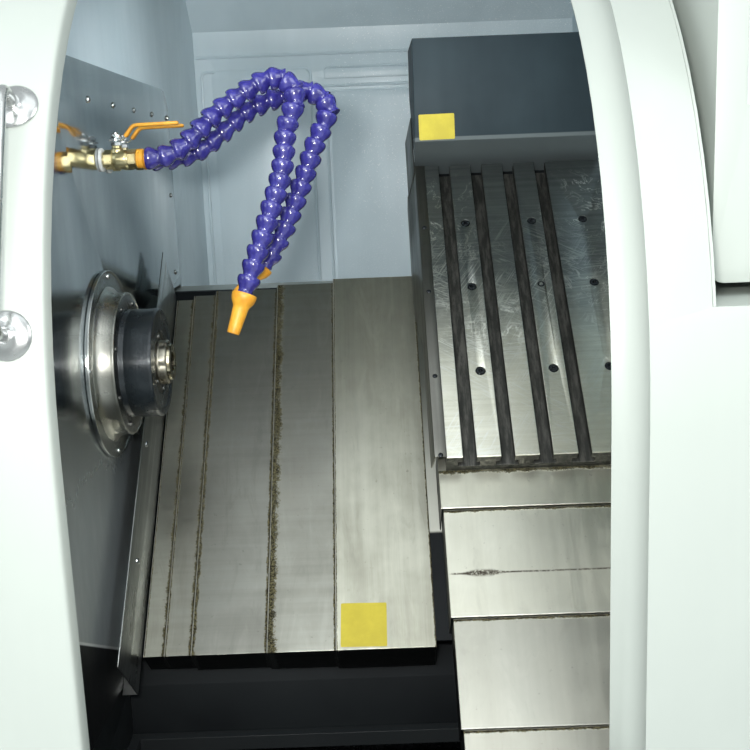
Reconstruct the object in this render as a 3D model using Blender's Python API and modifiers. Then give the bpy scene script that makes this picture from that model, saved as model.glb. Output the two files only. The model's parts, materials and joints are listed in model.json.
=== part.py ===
# Slant-bed turning lathe with a gang tool plate, telescopic way covers and a sliding door.
# Metres, +Z up, +X to the operator's right, +Y to the rear. The origin is on the floor, under the middle.
# Slanted pieces are drawn in slope coordinates: x along the spindle, t up the slope, h into the bed
# from the working face of the tool plate.
import math

import bmesh
import bpy
from mathutils import Matrix, Vector

# Overall sizes
half_width = 0.900
height = 1.650
base_top = height - 1.100
skirt_bottom = 0.100
sheet = 0.003
thin_sheet = 0.0015
liner_sheet = 0.002
gap = 0.0003

# Front profile, seen from the side
front_y = -0.750
bend_height = height - 0.620
bend_radius = 0.570
bend_end_deg = 70.0

# Opening and door
opening_left = -0.245
opening_right = 0.356
opening_bottom = base_top + 0.110
opening_top = height - 0.099
door_lead_edge = -0.207
door_width = 0.600
door_proud = 0.028
door_bottom = base_top + 0.090
door_top_deg = 68.0
door_travel = 0.533
trim_width = 0.030
trim_depth = 0.030

# Working area
bulkhead_x = -0.247
back_wall_y = 0.466
back_bend_z = height - 0.089
right_wall_x = 0.510

# Slope
slope_deg = 45.0
slope_y = front_y + 0.343
slope_z = height - 0.7375

# Spindle
spindle_t = 0.109
spindle_h = -0.085
flange_radius = 0.121
flange_thick = 0.007
ring_radius = 0.0915
ring_length = 0.020
housing_radius = 0.0695
housing_length = 0.040
barrel_radius = 0.080
bore_radius = 0.0455
shaft_radius = 0.0447
spindle_bore = 0.019
nose_radius = 0.040
nose_step_radius = 0.0285
nose_length = 0.010
nose_sunk = 0.002

# Tool plate
plate_left = 0.183
plate_right = 0.463
plate_length = 0.525
plate_thick = 0.035
slot_first = 0.213
slot_pitch = 0.050
slot_count = 4
slot_width = 0.018
slot_head_width = 0.030
slot_neck = 0.014
slot_head = 0.010
plate_screw_radius = 0.0070
plate_screw_depth = 0.006

# X slide
carriage_thick = 0.038
carriage_low = 0.100
carriage_high = 0.560
x_rail_inset = 0.052
rail_width = 0.020
rail_height = 0.025
block_clear = 0.0004
x_travel_down = 0.150
x_travel_up = 0.030

# Saddle and bed
saddle_low = -0.250
saddle_high = 0.620
saddle_thick = 0.060
bed_h = 0.200
bed_low = -0.220
bed_high = 0.450
bed_half_length = half_width - 0.280
z_rail_low = -0.020
z_rail_high = 0.280
z_screw_t = 0.130
z_screw_radius = 0.0102
z_travel_left = 0.2347
z_travel_right = 0.020
screw_lead = 0.010

# Telescopic covers of the Z axis, from the fixed one at the spindle to the one on the saddle
z_cover_left = [-0.2247, -0.196, -0.1595, -0.060, 0.030]
z_cover_length = [0.105, 0.096, 0.1495, 0.155, 0.130]
z_cover_h = 0.120
z_cover_step = 0.007
z_cover_low = -0.209
z_cover_high = 0.402
z_cover_nest = 0.0025
z_cover_names = ["z_cover_fixed", "z_cover_first", "z_cover_second", "z_cover_third", "z_cover_saddle"]

# Telescopic covers of the X axis, from the tool plate down
x_cover_h = 0.0356
x_cover_step = 0.0065
x_cover_nest = 0.0030
x_cover_left = 0.173
x_cover_low = [-0.055, -0.200, -0.333, -0.420]
x_cover_high = [0.040, 0.020, -0.150, -0.290]
x_cover_names = ["x_cover_plate", "x_cover_upper", "x_cover_lower", "x_cover_saddle"]

# Coolant
valve_y = [-0.350, -0.312]
valve_z = [slope_z + 0.3955, slope_z + 0.3935]
valve_reach = 0.059
bead_pitch = 0.0195
bead_radius = 0.0150
neck_radius = 0.0092

SLOPE = Matrix.Translation((0, slope_y, slope_z)) @ Matrix.Rotation(math.radians(slope_deg), 4, "X")
ALONG_X = Matrix(((0, 0, 1, 0), (1, 0, 0, 0), (0, 1, 0, 0), (0, 0, 0, 1)))
ALONG_Y = Matrix(((1, 0, 0, 0), (0, 0, -1, 0), (0, 1, 0, 0), (0, 0, 0, 1)))
ALONG_Z = Matrix.Identity(4)


def on_slope(x, t, h):
    """World place of a point given in slope coordinates."""
    return SLOPE @ Vector((x, t, -h))


for item in list(bpy.data.objects):
    bpy.data.objects.remove(item, do_unlink=True)

parts = bpy.data.collections.new("slant_bed_lathe")
cutters = bpy.data.collections.new("cutters")
bpy.context.scene.collection.children.link(parts)
bpy.context.scene.collection.children.link(cutters)


def paint(name, colour, roughness, metallic=0.0):
    material = bpy.data.materials.new(name)
    material.use_nodes = True
    shader = material.node_tree.nodes["Principled BSDF"]
    shader.inputs["Base Color"].default_value = (*colour, 1.0)
    shader.inputs["Roughness"].default_value = roughness
    shader.inputs["Metallic"].default_value = metallic
    return material


white = paint("white_paint", (0.82, 0.86, 0.84), 0.35)
pale_blue = paint("pale_blue_paint", (0.47, 0.56, 0.60), 0.4)
dark_sheet = paint("dark_hood_paint", (0.09, 0.12, 0.14), 0.4)
stainless = paint("stainless_sheet", (0.36, 0.39, 0.40), 0.2, 1.0)
cover_steel = paint("cover_steel", (0.45, 0.45, 0.42), 0.35, 1.0)
ground_steel = paint("ground_steel", (0.58, 0.58, 0.56), 0.3, 1.0)
black_steel = paint("black_steel", (0.03, 0.035, 0.04), 0.3, 0.6)
casting = paint("cast_iron_paint", (0.20, 0.23, 0.25), 0.6)
brass = paint("brass", (0.72, 0.47, 0.20), 0.3, 1.0)
orange = paint("orange_plastic", (0.90, 0.38, 0.05), 0.4)
blue = paint("blue_plastic", (0.09, 0.07, 0.42), 0.3)
chrome = paint("chrome", (0.80, 0.80, 0.80), 0.1, 1.0)
glass = paint("window_glass", (0.25, 0.30, 0.30), 0.1)
rubber = paint("black_rubber", (0.03, 0.03, 0.03), 0.7)
red = paint("red_plastic", (0.65, 0.04, 0.03), 0.35)
green = paint("green_plastic", (0.05, 0.40, 0.10), 0.35)
screen_grey = paint("screen_grey", (0.08, 0.09, 0.10), 0.2)


def finish(mesh, name, material, where=parts):
    """Put a mesh in a collection as a named object, shaded smooth where it is round."""
    node = bpy.data.objects.new(name, mesh)
    where.objects.link(node)
    mesh.materials.clear()
    mesh.materials.append(material or casting)
    if where is cutters:
        node.hide_render = True
        node.display_type = "WIRE"
    else:
        mesh.shade_smooth()
        mesh.set_sharp_from_angle(angle=math.radians(35))
    return node


def as_mesh(source, matrix):
    """Turn a curve into a welded mesh that holds its own place, and remove the curve."""
    bpy.context.view_layer.update()
    depsgraph = bpy.context.evaluated_depsgraph_get()
    mesh = bpy.data.meshes.new_from_object(source.evaluated_get(depsgraph))
    bpy.data.objects.remove(source, do_unlink=True)
    shape = bmesh.new()
    shape.from_mesh(mesh)
    bmesh.ops.remove_doubles(shape, verts=shape.verts, dist=0.00001)
    bmesh.ops.transform(shape, matrix=matrix, verts=shape.verts)
    bmesh.ops.recalc_face_normals(shape, faces=shape.faces)
    shape.to_mesh(mesh)
    shape.free()
    return mesh


def extrude(name, outlines, low, high, frame=ALONG_X, slope=False, material=None, where=parts):
    """A flat outline (and its holes) given thickness from low to high along the frame's third axis."""
    drawing = bpy.data.curves.new(name, "CURVE")
    drawing.dimensions = "2D"
    drawing.fill_mode = "BOTH"
    drawing.extrude = (high - low) / 2
    for outline in outlines:
        line = drawing.splines.new("POLY")
        line.points.add(len(outline) - 1)
        line.use_cyclic_u = True
        for point, (a, b) in zip(line.points, outline):
            point.co = (a, b, 0, 1)
    source = bpy.data.objects.new(name, drawing)
    bpy.context.scene.collection.objects.link(source)
    place = frame @ Matrix.Translation((0, 0, (low + high) / 2))
    node = finish(as_mesh(source, place), name, material, where)
    if slope:
        node.matrix_world = SLOPE
    return node


def block(name, low, high, slope=False, material=None, where=parts):
    """A plain box between two corners; in slope coordinates the third one is h."""
    low, high = Vector(low), Vector(high)
    if slope:
        low.z, high.z = -high.z, -low.z
    shape = bmesh.new()
    place = Matrix.Translation((low + high) / 2) @ Matrix.Diagonal((*(high - low), 1))
    bmesh.ops.create_cube(shape, size=1, matrix=place)
    mesh = bpy.data.meshes.new(name)
    shape.to_mesh(mesh)
    shape.free()
    node = finish(mesh, name, material, where)
    if slope:
        node.matrix_world = SLOPE
    return node


def turned(name, profile, place, steps=32, closed=False, material=None, where=parts):
    """A profile of (radius, height) points turned about the local Z axis; it runs down its outer side."""
    mesh = bpy.data.meshes.new(name)
    points = [(radius, 0, along) for radius, along in profile]
    edges = [(i, i + 1) for i in range(len(points) - 1)]
    if closed:
        edges.append((len(points) - 1, 0))
    mesh.from_pydata(points, edges, [])
    node = finish(mesh, name, material, where)
    node.matrix_world = place
    screw = node.modifiers.new("turning", "SCREW")
    screw.axis = "Z"
    screw.steps = steps
    screw.render_steps = steps
    screw.use_merge_vertices = True
    screw.merge_threshold = 0.00002
    screw.use_smooth_shade = True
    return node


def cylinder(name, radius, low, high, place, steps=32, material=None, where=parts):
    """A round bar along the local Z axis."""
    return turned(name, [(0, high), (radius, high), (radius, low), (0, low)], place, steps,
                  material=material, where=where)


def tube(name, points, radius, material=None, sides=2, smooth=True):
    """A bent round bar with filled ends through the given points."""
    path = bpy.data.curves.new(name, "CURVE")
    path.dimensions = "3D"
    path.bevel_depth = radius
    path.bevel_resolution = sides
    path.use_fill_caps = True
    line = path.splines.new("POLY")
    line.points.add(len(points) - 1)
    for point, place in zip(line.points, points):
        point.co = (*place, 1)
    source = bpy.data.objects.new(name, path)
    bpy.context.scene.collection.objects.link(source)
    return finish(as_mesh(source, Matrix.Identity(4)), name, material)


def boolean(node, operation, tools):
    for tool in tools:
        step = node.modifiers.new(operation.lower(), "BOOLEAN")
        step.operation = operation
        step.object = tool
        step.solver = "EXACT"
        if tool.name in parts.objects:
            parts.objects.unlink(tool)
            cutters.objects.link(tool)
            tool.hide_render = True
            tool.display_type = "WIRE"
    return node


def cut(node, *tools):
    return boolean(node, "DIFFERENCE", tools)


def join(node, *tools):
    return boolean(node, "UNION", tools)


def hang_on(name, place, *nodes):
    """An empty on a joint's axis that carries the nodes of one moving body."""
    empty = bpy.data.objects.new(name, None)
    parts.objects.link(empty)
    empty.location = place
    for node in nodes:
        node.parent = empty
        node.matrix_parent_inverse = Matrix.Translation(Vector(place)).inverted()
    return empty


def rounded(corners, steps=4):
    """An outline whose corners (a, b, radius) are rounded by arcs."""
    outline = []
    count = len(corners)
    for i, (a, b, radius) in enumerate(corners):
        here = Vector((a, b))
        if radius == 0:
            outline.append((a, b))
            continue
        before = (Vector(corners[i - 1][:2]) - here).normalized()
        after = (Vector(corners[(i + 1) % count][:2]) - here).normalized()
        half = before.angle(after) / 2
        reach = radius / math.tan(half)
        centre = here + (before + after).normalized() * (radius / math.sin(half))
        start = here + before * reach - centre
        turn = (here + after * reach - centre).angle_signed(start)
        for k in range(steps + 1):
            spoke = Matrix.Rotation(turn * k / steps, 2) @ start
            outline.append(tuple(centre + spoke))
    return outline


def folded(line, thickness):
    """The closed outline of a sheet folded along a line of points, thickness on its left side."""
    points = [Vector(p) for p in line]
    offset = []
    for i, here in enumerate(points):
        sides = []
        if i > 0:
            along = (here - points[i - 1]).normalized()
            sides.append(Vector((-along.y, along.x)))
        if i < len(points) - 1:
            along = (points[i + 1] - here).normalized()
            sides.append(Vector((-along.y, along.x)))
        lean = (sides[0] + sides[-1]).normalized()
        offset.append(here + lean * thickness / lean.dot(sides[0]))
    return [tuple(p) for p in points] + [tuple(p) for p in reversed(offset)]


def circle(a, b, radius, steps=32):
    return [(a + radius * math.cos(2 * math.pi * k / steps), b + radius * math.sin(2 * math.pi * k / steps))
            for k in range(steps)]


def rectangle(a_low, b_low, a_high, b_high, radius=0.0):
    corners = [(a_low, b_low, radius), (a_high, b_low, radius), (a_high, b_high, radius),
               (a_low, b_high, radius)]
    return rounded(corners)


arc_centre_y = front_y + bend_radius


def front_arc(degrees, proud=0.0):
    """A point on the curved upper part of the front, proud of the cover by the given distance."""
    angle = math.radians(degrees)
    reach = bend_radius + proud
    return (arc_centre_y - reach * math.cos(angle), bend_height + reach * math.sin(angle))


def front_line(bottom, end_deg, proud=0.0, top=None, step_deg=5.0):
    """The front profile from its bottom up, as (y, z) points."""
    points = [(front_y - proud, bottom)]
    count = max(1, round(end_deg / step_deg))
    points += [front_arc(end_deg * k / count, proud) for k in range(count + 1)]
    if top is not None:
        y, z = points[-1]
        angle = math.radians(end_deg)
        run = (top - z) / math.cos(angle)
        points.append((y + run * math.sin(angle), top))
    return points


spindle_place = on_slope(0, spindle_t, spindle_h)
spindle_y, spindle_z = spindle_place.y, spindle_place.z
TO_X = Matrix.Rotation(math.radians(90), 4, "Y")


def along_x(y, z, x=0.0):
    """Places a turned piece with its local Z axis along +X."""
    return Matrix.Translation((x, y, z)) @ TO_X


# Base frame: a welded frame with ribs, open below, with a bay for the chip drawer
base_front = front_y + sheet + gap
base_back = 0.700
base_wall = 0.012
base_half = half_width - sheet - gap
bay_left, bay_right = -0.360, 0.510
bay_back = 0.250
foot_height = 0.060
base_bottom = foot_height

base_frame = block("base_frame", (-base_half, base_front, base_bottom), (base_half, base_back, base_top),
                   material=casting)
pocket_top = base_top - 0.020
pocket_low_y, pocket_high_y = base_front + base_wall, base_back - base_wall
pocket_under = base_bottom - 0.020
left_pocket = block("left_pocket", (-base_half + base_wall, pocket_low_y, pocket_under),
                    (bay_left - base_wall, pocket_high_y, pocket_top), where=cutters)
right_pocket = block("right_pocket", (bay_right + base_wall, pocket_low_y, pocket_under),
                     (base_half - base_wall, pocket_high_y, pocket_top), where=cutters)
rear_pocket = block("rear_pocket", (bay_left, bay_back + base_wall, pocket_under),
                    (bay_right, pocket_high_y, pocket_top), where=cutters)
drawer_bay = block("drawer_bay", (bay_left, base_front - 0.02, pocket_under), (bay_right, bay_back, pocket_top),
                   where=cutters)
chute = block("chute", (bulkhead_x + 0.01, front_y + 0.050, pocket_top - 0.02),
              (right_wall_x - 0.01, slope_y - 0.038, base_top + 0.02),
              where=cutters)
cut(base_frame, left_pocket, right_pocket, rear_pocket, drawer_bay, chute)
foot_inset = 0.090
foot_plate = 0.150
feet = []
for side in (-1, 1):
    for wall_y in (base_front, base_back):
        end = 1 if wall_y > 0 else -1
        x, y = side * (base_half - foot_inset), wall_y - end * foot_inset
        edge_x, edge_y = side * (base_half - base_wall / 2), wall_y - end * base_wall / 2
        inner_x, inner_y = side * (base_half - foot_plate), wall_y - end * foot_plate
        plate = block("foot_plate", (min(edge_x, inner_x), min(edge_y, inner_y), base_bottom + 0.001),
                      (max(edge_x, inner_x), max(edge_y, inner_y), base_bottom + 0.020), where=cutters)
        stem = turned("foot_stem", [(0, base_bottom + 0.018), (0.014, base_bottom + 0.018), (0.014, 0.030),
                                    (0.030, 0.022), (0.045, 0.018), (0.045, 0), (0, 0)],
                      Matrix.Translation((x, y, 0)), 20, where=cutters)
        feet += [plate, stem]
join(base_frame, *feet)
runner_top = 0.115
runners = [block("drawer_runner", (x, base_front + 0.03, runner_top - 0.012),
                 (x + 0.030, bay_back + 0.002, runner_top), where=cutters)
           for x in (bay_left - 0.002, bay_right - 0.028)]
join(base_frame, *runners)

# Outer covers
front_top = height - gap
front_cover = extrude("front_cover", [folded(front_line(skirt_bottom, bend_end_deg, 0, front_top), -sheet)],
                      -base_half, base_half, material=white)
drawer_left, drawer_right = -0.350, 0.500
drawer_bottom, drawer_top = 0.117, base_top - 0.050
drawer_clear = 0.003
recess_left, recess_floor, recess_back = 0.4165, height - 0.505, front_y + 0.300
cover_back = base_back + gap
side_outline = front_line(skirt_bottom, bend_end_deg, 0, height) + [
    (cover_back + sheet, height), (cover_back + sheet, skirt_bottom)]
left_cover = extrude("left_cover", [side_outline], -half_width, -half_width + sheet, material=white)
right_cover = extrude("right_cover", [side_outline], half_width - sheet, half_width, material=white)
roof_front = side_outline[-3][0] + 0.004
cabinet_left, cabinet_right = -0.300, half_width - 0.120
cabinet_bottom, cabinet_top = base_top + 0.050, height - 0.090
rear_cover = extrude("rear_cover", [rectangle(-base_half, skirt_bottom, base_half, height - sheet - gap)],
                     -cover_back - sheet, -cover_back, ALONG_Y, material=white)
roof_cover = block("roof_cover", (-base_half, roof_front, height - sheet),
                   (base_half, cover_back + sheet, height), material=white)

# Recess for the control box: floor and back folded from one sheet, with a side plate
recess_right = base_half
recess_reach = bend_radius - sheet - 3 * gap
recess_front = arc_centre_y - math.sqrt(recess_reach ** 2 - (recess_floor - bend_height) ** 2)
recess_top = bend_height + math.sqrt(bend_radius ** 2 - (recess_back - arc_centre_y) ** 2)
recess_line = [(recess_front, recess_floor), (recess_back, recess_floor), (recess_back, recess_top)]
control_recess = extrude("control_recess", [folded(recess_line, -sheet)], recess_left + gap, recess_right,
                         material=white)
cheek_inset = 0.0005
cheek_back = recess_back + sheet / 2
cheek_low, cheek_front = recess_floor - sheet / 2, recess_front + cheek_inset
cheek_reach = bend_radius - cheek_inset
cheek_start = math.degrees(math.asin((recess_floor + gap - bend_height) / cheek_reach))
cheek_end = math.degrees(math.acos((arc_centre_y - recess_back) / cheek_reach))
cheek_line = [front_arc(cheek_start + (cheek_end - cheek_start) * k / 10, -cheek_inset) for k in range(11)]
cheek_line += [(cheek_back, cheek_line[-1][1]), (cheek_back, cheek_low), (cheek_front, cheek_low),
               (cheek_front, recess_floor + gap)]
recess_cheek = extrude("recess_cheek", [cheek_line], recess_left + 2 * gap, recess_left + 2 * gap + sheet,
                       where=cutters)
join(control_recess, recess_cheek)

# Rounded trim that leads the front cover into the opening
trim_bottom = opening_bottom + 0.002
trim_line = front_line(trim_bottom, 65.0)
trim_section = [(opening_right + 0.004, 0.0005)]
trim_section += [(opening_right - trim_width * (1 - math.cos(a)), 0.0005 + trim_depth * math.sin(a))
                 for a in [math.radians(90 * k / 5) for k in range(6)]]


def swept_sheet(name, section, line, thickness, material):
    """A grid of (x, depth) sections carried along a (y, z) line, made solid towards its back."""
    shape = bmesh.new()
    rows = []
    for i, (y, z) in enumerate(line):
        before = Vector(line[max(i - 1, 0)])
        after = Vector(line[min(i + 1, len(line) - 1)])
        along = (after - before).normalized()
        inward = Vector((along.y, -along.x))
        rows.append([shape.verts.new((x, y + inward.x * deep, z + inward.y * deep)) for x, deep in section])
    for low, high in zip(rows, rows[1:]):
        for k in range(len(section) - 1):
            shape.faces.new((low[k], low[k + 1], high[k + 1], high[k]))
    mesh = bpy.data.meshes.new(name)
    shape.to_mesh(mesh)
    shape.free()
    node = finish(mesh, name, material)
    wall = node.modifiers.new("wall", "SOLIDIFY")
    wall.thickness = thickness
    wall.offset = -1
    wall.use_even_offset = True
    return node


opening_trim = swept_sheet("opening_trim", list(reversed(trim_section)), trim_line, sheet, white)

# Sliding door: a shell that follows the front, with folded edges, a window and a bow handle
door_left = door_lead_edge - door_width
door_fold = door_proud - sheet
door_radius = 0.006
door_section = [(door_left, door_fold), (door_left, door_radius),
                (door_left + door_radius * 0.3, door_radius * 0.3), (door_left + door_radius, 0),
                (door_lead_edge - door_radius, 0), (door_lead_edge - door_radius * 0.3, door_radius * 0.3),
                (door_lead_edge, door_radius), (door_lead_edge, door_fold)]
door_line = front_line(door_bottom, door_top_deg, door_proud)
door_panel = swept_sheet("door_panel", door_section, door_line, sheet, white)
window_left, window_right = -0.700, -0.330
window_half_z = 0.190
window_mid_z = bend_height + 0.030


def window_opening(name, grow, low_y, high_y, where):
    outline = rectangle(window_left - grow, window_mid_z - window_half_z - grow, window_right + grow,
                        window_mid_z + window_half_z + grow, 0.030 + grow)
    return extrude(name, [outline], -high_y, -low_y, ALONG_Y, where=where)


cut(door_panel, window_opening("window_cutter", 0.0, front_y - 0.10, front_y + 0.15, cutters))
pane_edge = 0.018
pane_low = window_mid_z - window_half_z - pane_edge
pane = swept_sheet("door_window", [(window_left - pane_edge, 0), (window_right + pane_edge, 0)],
                   front_line(pane_low, 30.0, door_proud - sheet - gap), 0.006, glass)
pane_keep = block("pane_keep", (window_left - 0.1, front_y - 0.2, pane_low - 0.1),
                  (window_right + 0.1, front_y + 0.3, window_mid_z + window_half_z + pane_edge), where=cutters)
boolean(pane, "INTERSECT", [pane_keep])
handle_x = -0.2415
handle_low, handle_high = bend_height + 0.117, bend_height + 0.326
handle_radius = 0.00625
handle_out = 0.046
rosette_radius = 0.0235


def door_face(z):
    """Depth of the door's outer face at a height, and the face's outward direction."""
    lift = max(0.0, z - bend_height) / (bend_radius + door_proud)
    angle = math.asin(lift)
    y = arc_centre_y - (bend_radius + door_proud) * math.cos(angle)
    return y, Vector((0, -math.cos(angle), math.sin(angle)))


def bow_points(seat_gap, steps=4):
    """The bow handle's centre line: out of the lower rosette, bent, straight, bent and back in."""
    low_y, low_out = door_face(handle_low)
    high_y, high_out = door_face(handle_high)
    foot_low = Vector((handle_x, low_y, handle_low)) + low_out * seat_gap
    foot_high = Vector((handle_x, high_y, handle_high)) + high_out * seat_gap
    top_low = foot_low + low_out * handle_out
    top_high = foot_high + high_out * handle_out
    run = (top_high - top_low).normalized()
    bend = 0.022
    points = [foot_low]
    for corner, start, end in ((top_low, -low_out, run), (top_high, -run, -high_out)):
        a, b = corner + start * bend, corner + end * bend
        for k in range(steps + 1):
            u = k / steps
            points.append(a * (1 - u) ** 2 + corner * (2 * u * (1 - u)) + b * u ** 2)
    points.append(foot_high)
    return points


door_handle = tube("door_handle", bow_points(gap + 0.002), handle_radius, chrome, 2)
rosettes = []
for z in (handle_low, handle_high):
    y, out = door_face(z)
    turn = out.to_track_quat("Z", "Y").to_matrix().to_4x4()
    place = Matrix.Translation(Vector((handle_x, y, z)) + out * gap) @ turn
    rosettes.append(turned("rosette", [(0, 0.006), (0.012, 0.006), (0.019, 0.004), (rosette_radius, 0.0),
                                       (0, 0.0)], place, 28, where=cutters))
join(door_handle, *rosettes)
rail_y = front_y + 0.001
rail_foot_z, rail_end = door_bottom - 0.044, -half_width + 0.040
hooked = [(rail_y, rail_foot_z), (rail_y, rail_foot_z + 0.038), (rail_y - 0.004, rail_foot_z + 0.038),
          (rail_y - 0.004, rail_foot_z + 0.006), (rail_y - 0.026, rail_foot_z + 0.006),
          (rail_y - 0.026, door_bottom - 0.0007), (rail_y - 0.030, door_bottom - 0.0007),
          (rail_y - 0.030, rail_foot_z)]
door_rail_lower = extrude("door_rail_lower", [hooked], rail_end, opening_right + 0.044, where=cutters)
rail_arc = 69.0
rail_foot = Vector(front_arc(rail_arc, -0.001))
rail_up = Vector((math.sin(math.radians(rail_arc)), math.cos(math.radians(rail_arc))))
rail_out = Vector((-math.cos(math.radians(rail_arc)), math.sin(math.radians(rail_arc))))
hook = [(0, 0), (0.016, 0), (0.016, 0.004), (0.004, 0.004), (0.004, 0.026), (0.0, 0.026)]
door_rail_upper = extrude("door_rail_upper", [[tuple(rail_foot + rail_up * a + rail_out * b) for a, b in hook]],
                          rail_end, opening_right - 0.0005, where=cutters)
join(front_cover, door_rail_lower, door_rail_upper)
cut(front_cover,
    block("door_cutter", (opening_left, front_y - 0.05, opening_bottom),
          (opening_right, front_y + 0.450, opening_top), where=cutters),
    block("drawer_cutter", (drawer_left - drawer_clear, front_y - 0.05, drawer_bottom - drawer_clear),
          (drawer_right + drawer_clear, front_y + 0.05, drawer_top + drawer_clear), where=cutters),
    block("recess_cutter", (recess_left, front_y - 0.05, recess_floor),
          (half_width, recess_back + sheet + gap, height), where=cutters))
join(front_cover, opening_trim)
hang_on("door_axis", (door_lead_edge, front_y, door_bottom), door_panel, pane, door_handle)

# Slanted bed of cast iron, with its Z rails and screw bearings
bed_back_y = 0.150


def yz(t, h):
    place = on_slope(0, t, h)
    return (place.y, place.z)


bed_front_top = yz(bed_low, bed_h)
bed_rear_top = yz(bed_high, bed_h)
bed_floor = base_top + gap
bed_outline = [bed_front_top, (bed_front_top[0] - 0.01, bed_floor), (0.300, bed_floor),
               (bed_back_y, bed_rear_top[1]), bed_rear_top]
core_low, core_high = bed_floor + 0.050, slope_z - 0.0125
core = rounded([(-0.250, core_low, 0.02), (0.200, core_low, 0.02), (0.110, core_high, 0.02),
                (0.050, core_high, 0.02)])
slant_bed = extrude("slant_bed", [bed_outline, core], -bed_half_length, bed_half_length, material=casting)
channel = block("screw_channel", (-0.230, z_screw_t - 0.035, bed_h - 0.02),
                (bed_half_length + 0.01, z_screw_t + 0.035, bed_h + 0.035), True, where=cutters)
cut(slant_bed, channel)
z_rail_left, z_rail_right = -0.215, 0.495


def rail_outline(middle, top_h, foot_h):
    """Section of a linear guide rail with its two ball grooves, as (position, n) points."""
    half, waist = rail_width / 2, rail_width / 2 - 0.003
    top, foot = -top_h, -foot_h
    return [(middle - half, foot), (middle + half, foot), (middle + half, foot + 0.007),
            (middle + waist, foot + 0.011), (middle + waist, top - 0.007), (middle + half, top - 0.004),
            (middle + half, top), (middle - half, top), (middle - half, top - 0.004),
            (middle - waist, top - 0.007), (middle - waist, foot + 0.011), (middle - half, foot + 0.007)]


join(slant_bed,
     *[extrude("z_rail", [rail_outline(t, bed_h - rail_height, bed_h + 0.001)], z_rail_left, z_rail_right,
               ALONG_X, True, where=cutters) for t in (z_rail_low, z_rail_high)])
z_screw_h = bed_h - 0.012
screw_hole = z_screw_radius + 0.0010
bearing_outline = [rectangle(z_screw_t - 0.030, -bed_h - 0.036, z_screw_t + 0.030, -z_screw_h + 0.020, 0.006),
                   circle(z_screw_t, -z_screw_h, screw_hole, 16)]
for low_x in (-0.212, bed_half_length - 0.060):
    join(slant_bed,
         extrude("screw_bearing", bearing_outline, low_x, low_x + 0.025, ALONG_X, True, where=cutters))
z_screw_place = on_slope(0, z_screw_t, z_screw_h)
z_ballscrew = cylinder("z_ballscrew", z_screw_radius, -0.2215, bed_half_length + 0.020,
                       along_x(z_screw_place.y, z_screw_place.z), 16, ground_steel)
hang_on("z_screw_axis", (0, z_screw_place.y, z_screw_place.z), z_ballscrew)
motor_half = 0.048
z_motor = extrude("z_motor", [rectangle(z_screw_t - motor_half, -z_screw_h - motor_half, z_screw_t + motor_half,
                                        -z_screw_h + motor_half, 0.010)],
                  bed_half_length + 0.0205, bed_half_length + 0.150, ALONG_X, True, black_steel)
z_motor_mount = extrude("z_motor_mount", [rectangle(z_screw_t - 0.060, -z_screw_h - 0.060, z_screw_t + 0.060,
                                                    -z_screw_h + 0.060, 0.008),
                                          circle(z_screw_t, -z_screw_h, screw_hole, 16)],
                        bed_half_length - 0.002, bed_half_length + 0.020, ALONG_X, True, where=cutters)
join(slant_bed, z_motor_mount)

# Headstock casting on the bed, with the spindle through it
wall_back = bulkhead_x - thin_sheet - liner_sheet - 2 * gap
head_left, head_right = 0.020 - bed_half_length, wall_back - gap
head_radius = 0.118
head_h = bed_h - gap
head_outline = [(spindle_t + 0.190, -head_h), (spindle_t + 0.190, -head_h + 0.035),
                (spindle_t + head_radius, -head_h + 0.060), (spindle_t + head_radius, -spindle_h)]
head_outline += [(spindle_t + head_radius * math.cos(math.pi * k / 12),
                  -spindle_h + head_radius * math.sin(math.pi * k / 12)) for k in range(1, 12)]
head_outline += [(spindle_t - head_radius, -spindle_h), (spindle_t - head_radius, -head_h + 0.060),
                 (spindle_t - 0.190, -head_h + 0.035), (spindle_t - 0.190, -head_h)]
headstock = extrude("headstock", [head_outline, circle(spindle_t, -spindle_h, barrel_radius + 0.0006)],
                    head_left, head_right, ALONG_X, True, casting)

flange_back = bulkhead_x + gap
flange_front = flange_back + flange_thick
ring_front = flange_front + ring_length
housing_front = ring_front + housing_length
shaft_end = housing_front + nose_length
nose_face = housing_front - nose_sunk
housing_back = head_left - 0.004
spindle_frame = along_x(spindle_y, spindle_z)
ring_inner = housing_radius + 0.0006
spindle_flange = turned("spindle_flange",
                        [(ring_inner, ring_front), (ring_radius - 0.004, ring_front),
                         (ring_radius, ring_front - 0.004), (ring_radius, flange_front + 0.006),
                         (ring_radius + 0.006, flange_front), (flange_radius - 0.002, flange_front),
                         (flange_radius, flange_front - 0.002), (flange_radius, flange_back),
                         (ring_inner, flange_back)], spindle_frame, 28, True, ground_steel)
spindle_housing = turned("spindle_housing",
                         [(bore_radius, housing_front - 0.012), (housing_radius - 0.012, housing_front - 0.012),
                          (housing_radius - 0.010, housing_front), (housing_radius - 0.002, housing_front),
                          (housing_radius, housing_front - 0.002), (housing_radius, bulkhead_x - 0.006),
                          (barrel_radius, bulkhead_x - 0.006), (barrel_radius, housing_back),
                          (bore_radius, housing_back)], spindle_frame, 28, True, black_steel)
shaft_tail = head_left - 0.160
spindle_shaft = turned("spindle_shaft",
                       [(spindle_bore + 0.006, shaft_end), (nose_step_radius - 0.001, shaft_end),
                        (nose_step_radius, shaft_end - 0.001), (nose_step_radius, nose_face),
                        (nose_radius - 0.001, nose_face), (nose_radius, nose_face - 0.001),
                        (nose_radius, housing_front - 0.0105), (shaft_radius, housing_front - 0.0105),
                        (shaft_radius, head_left - 0.030), (0.030, head_left - 0.030), (0.030, shaft_tail),
                        (spindle_bore, shaft_tail), (spindle_bore, shaft_end - 0.045)], spindle_frame, 24, True,
                       ground_steel)
collet_back = shaft_end - 0.040
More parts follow.
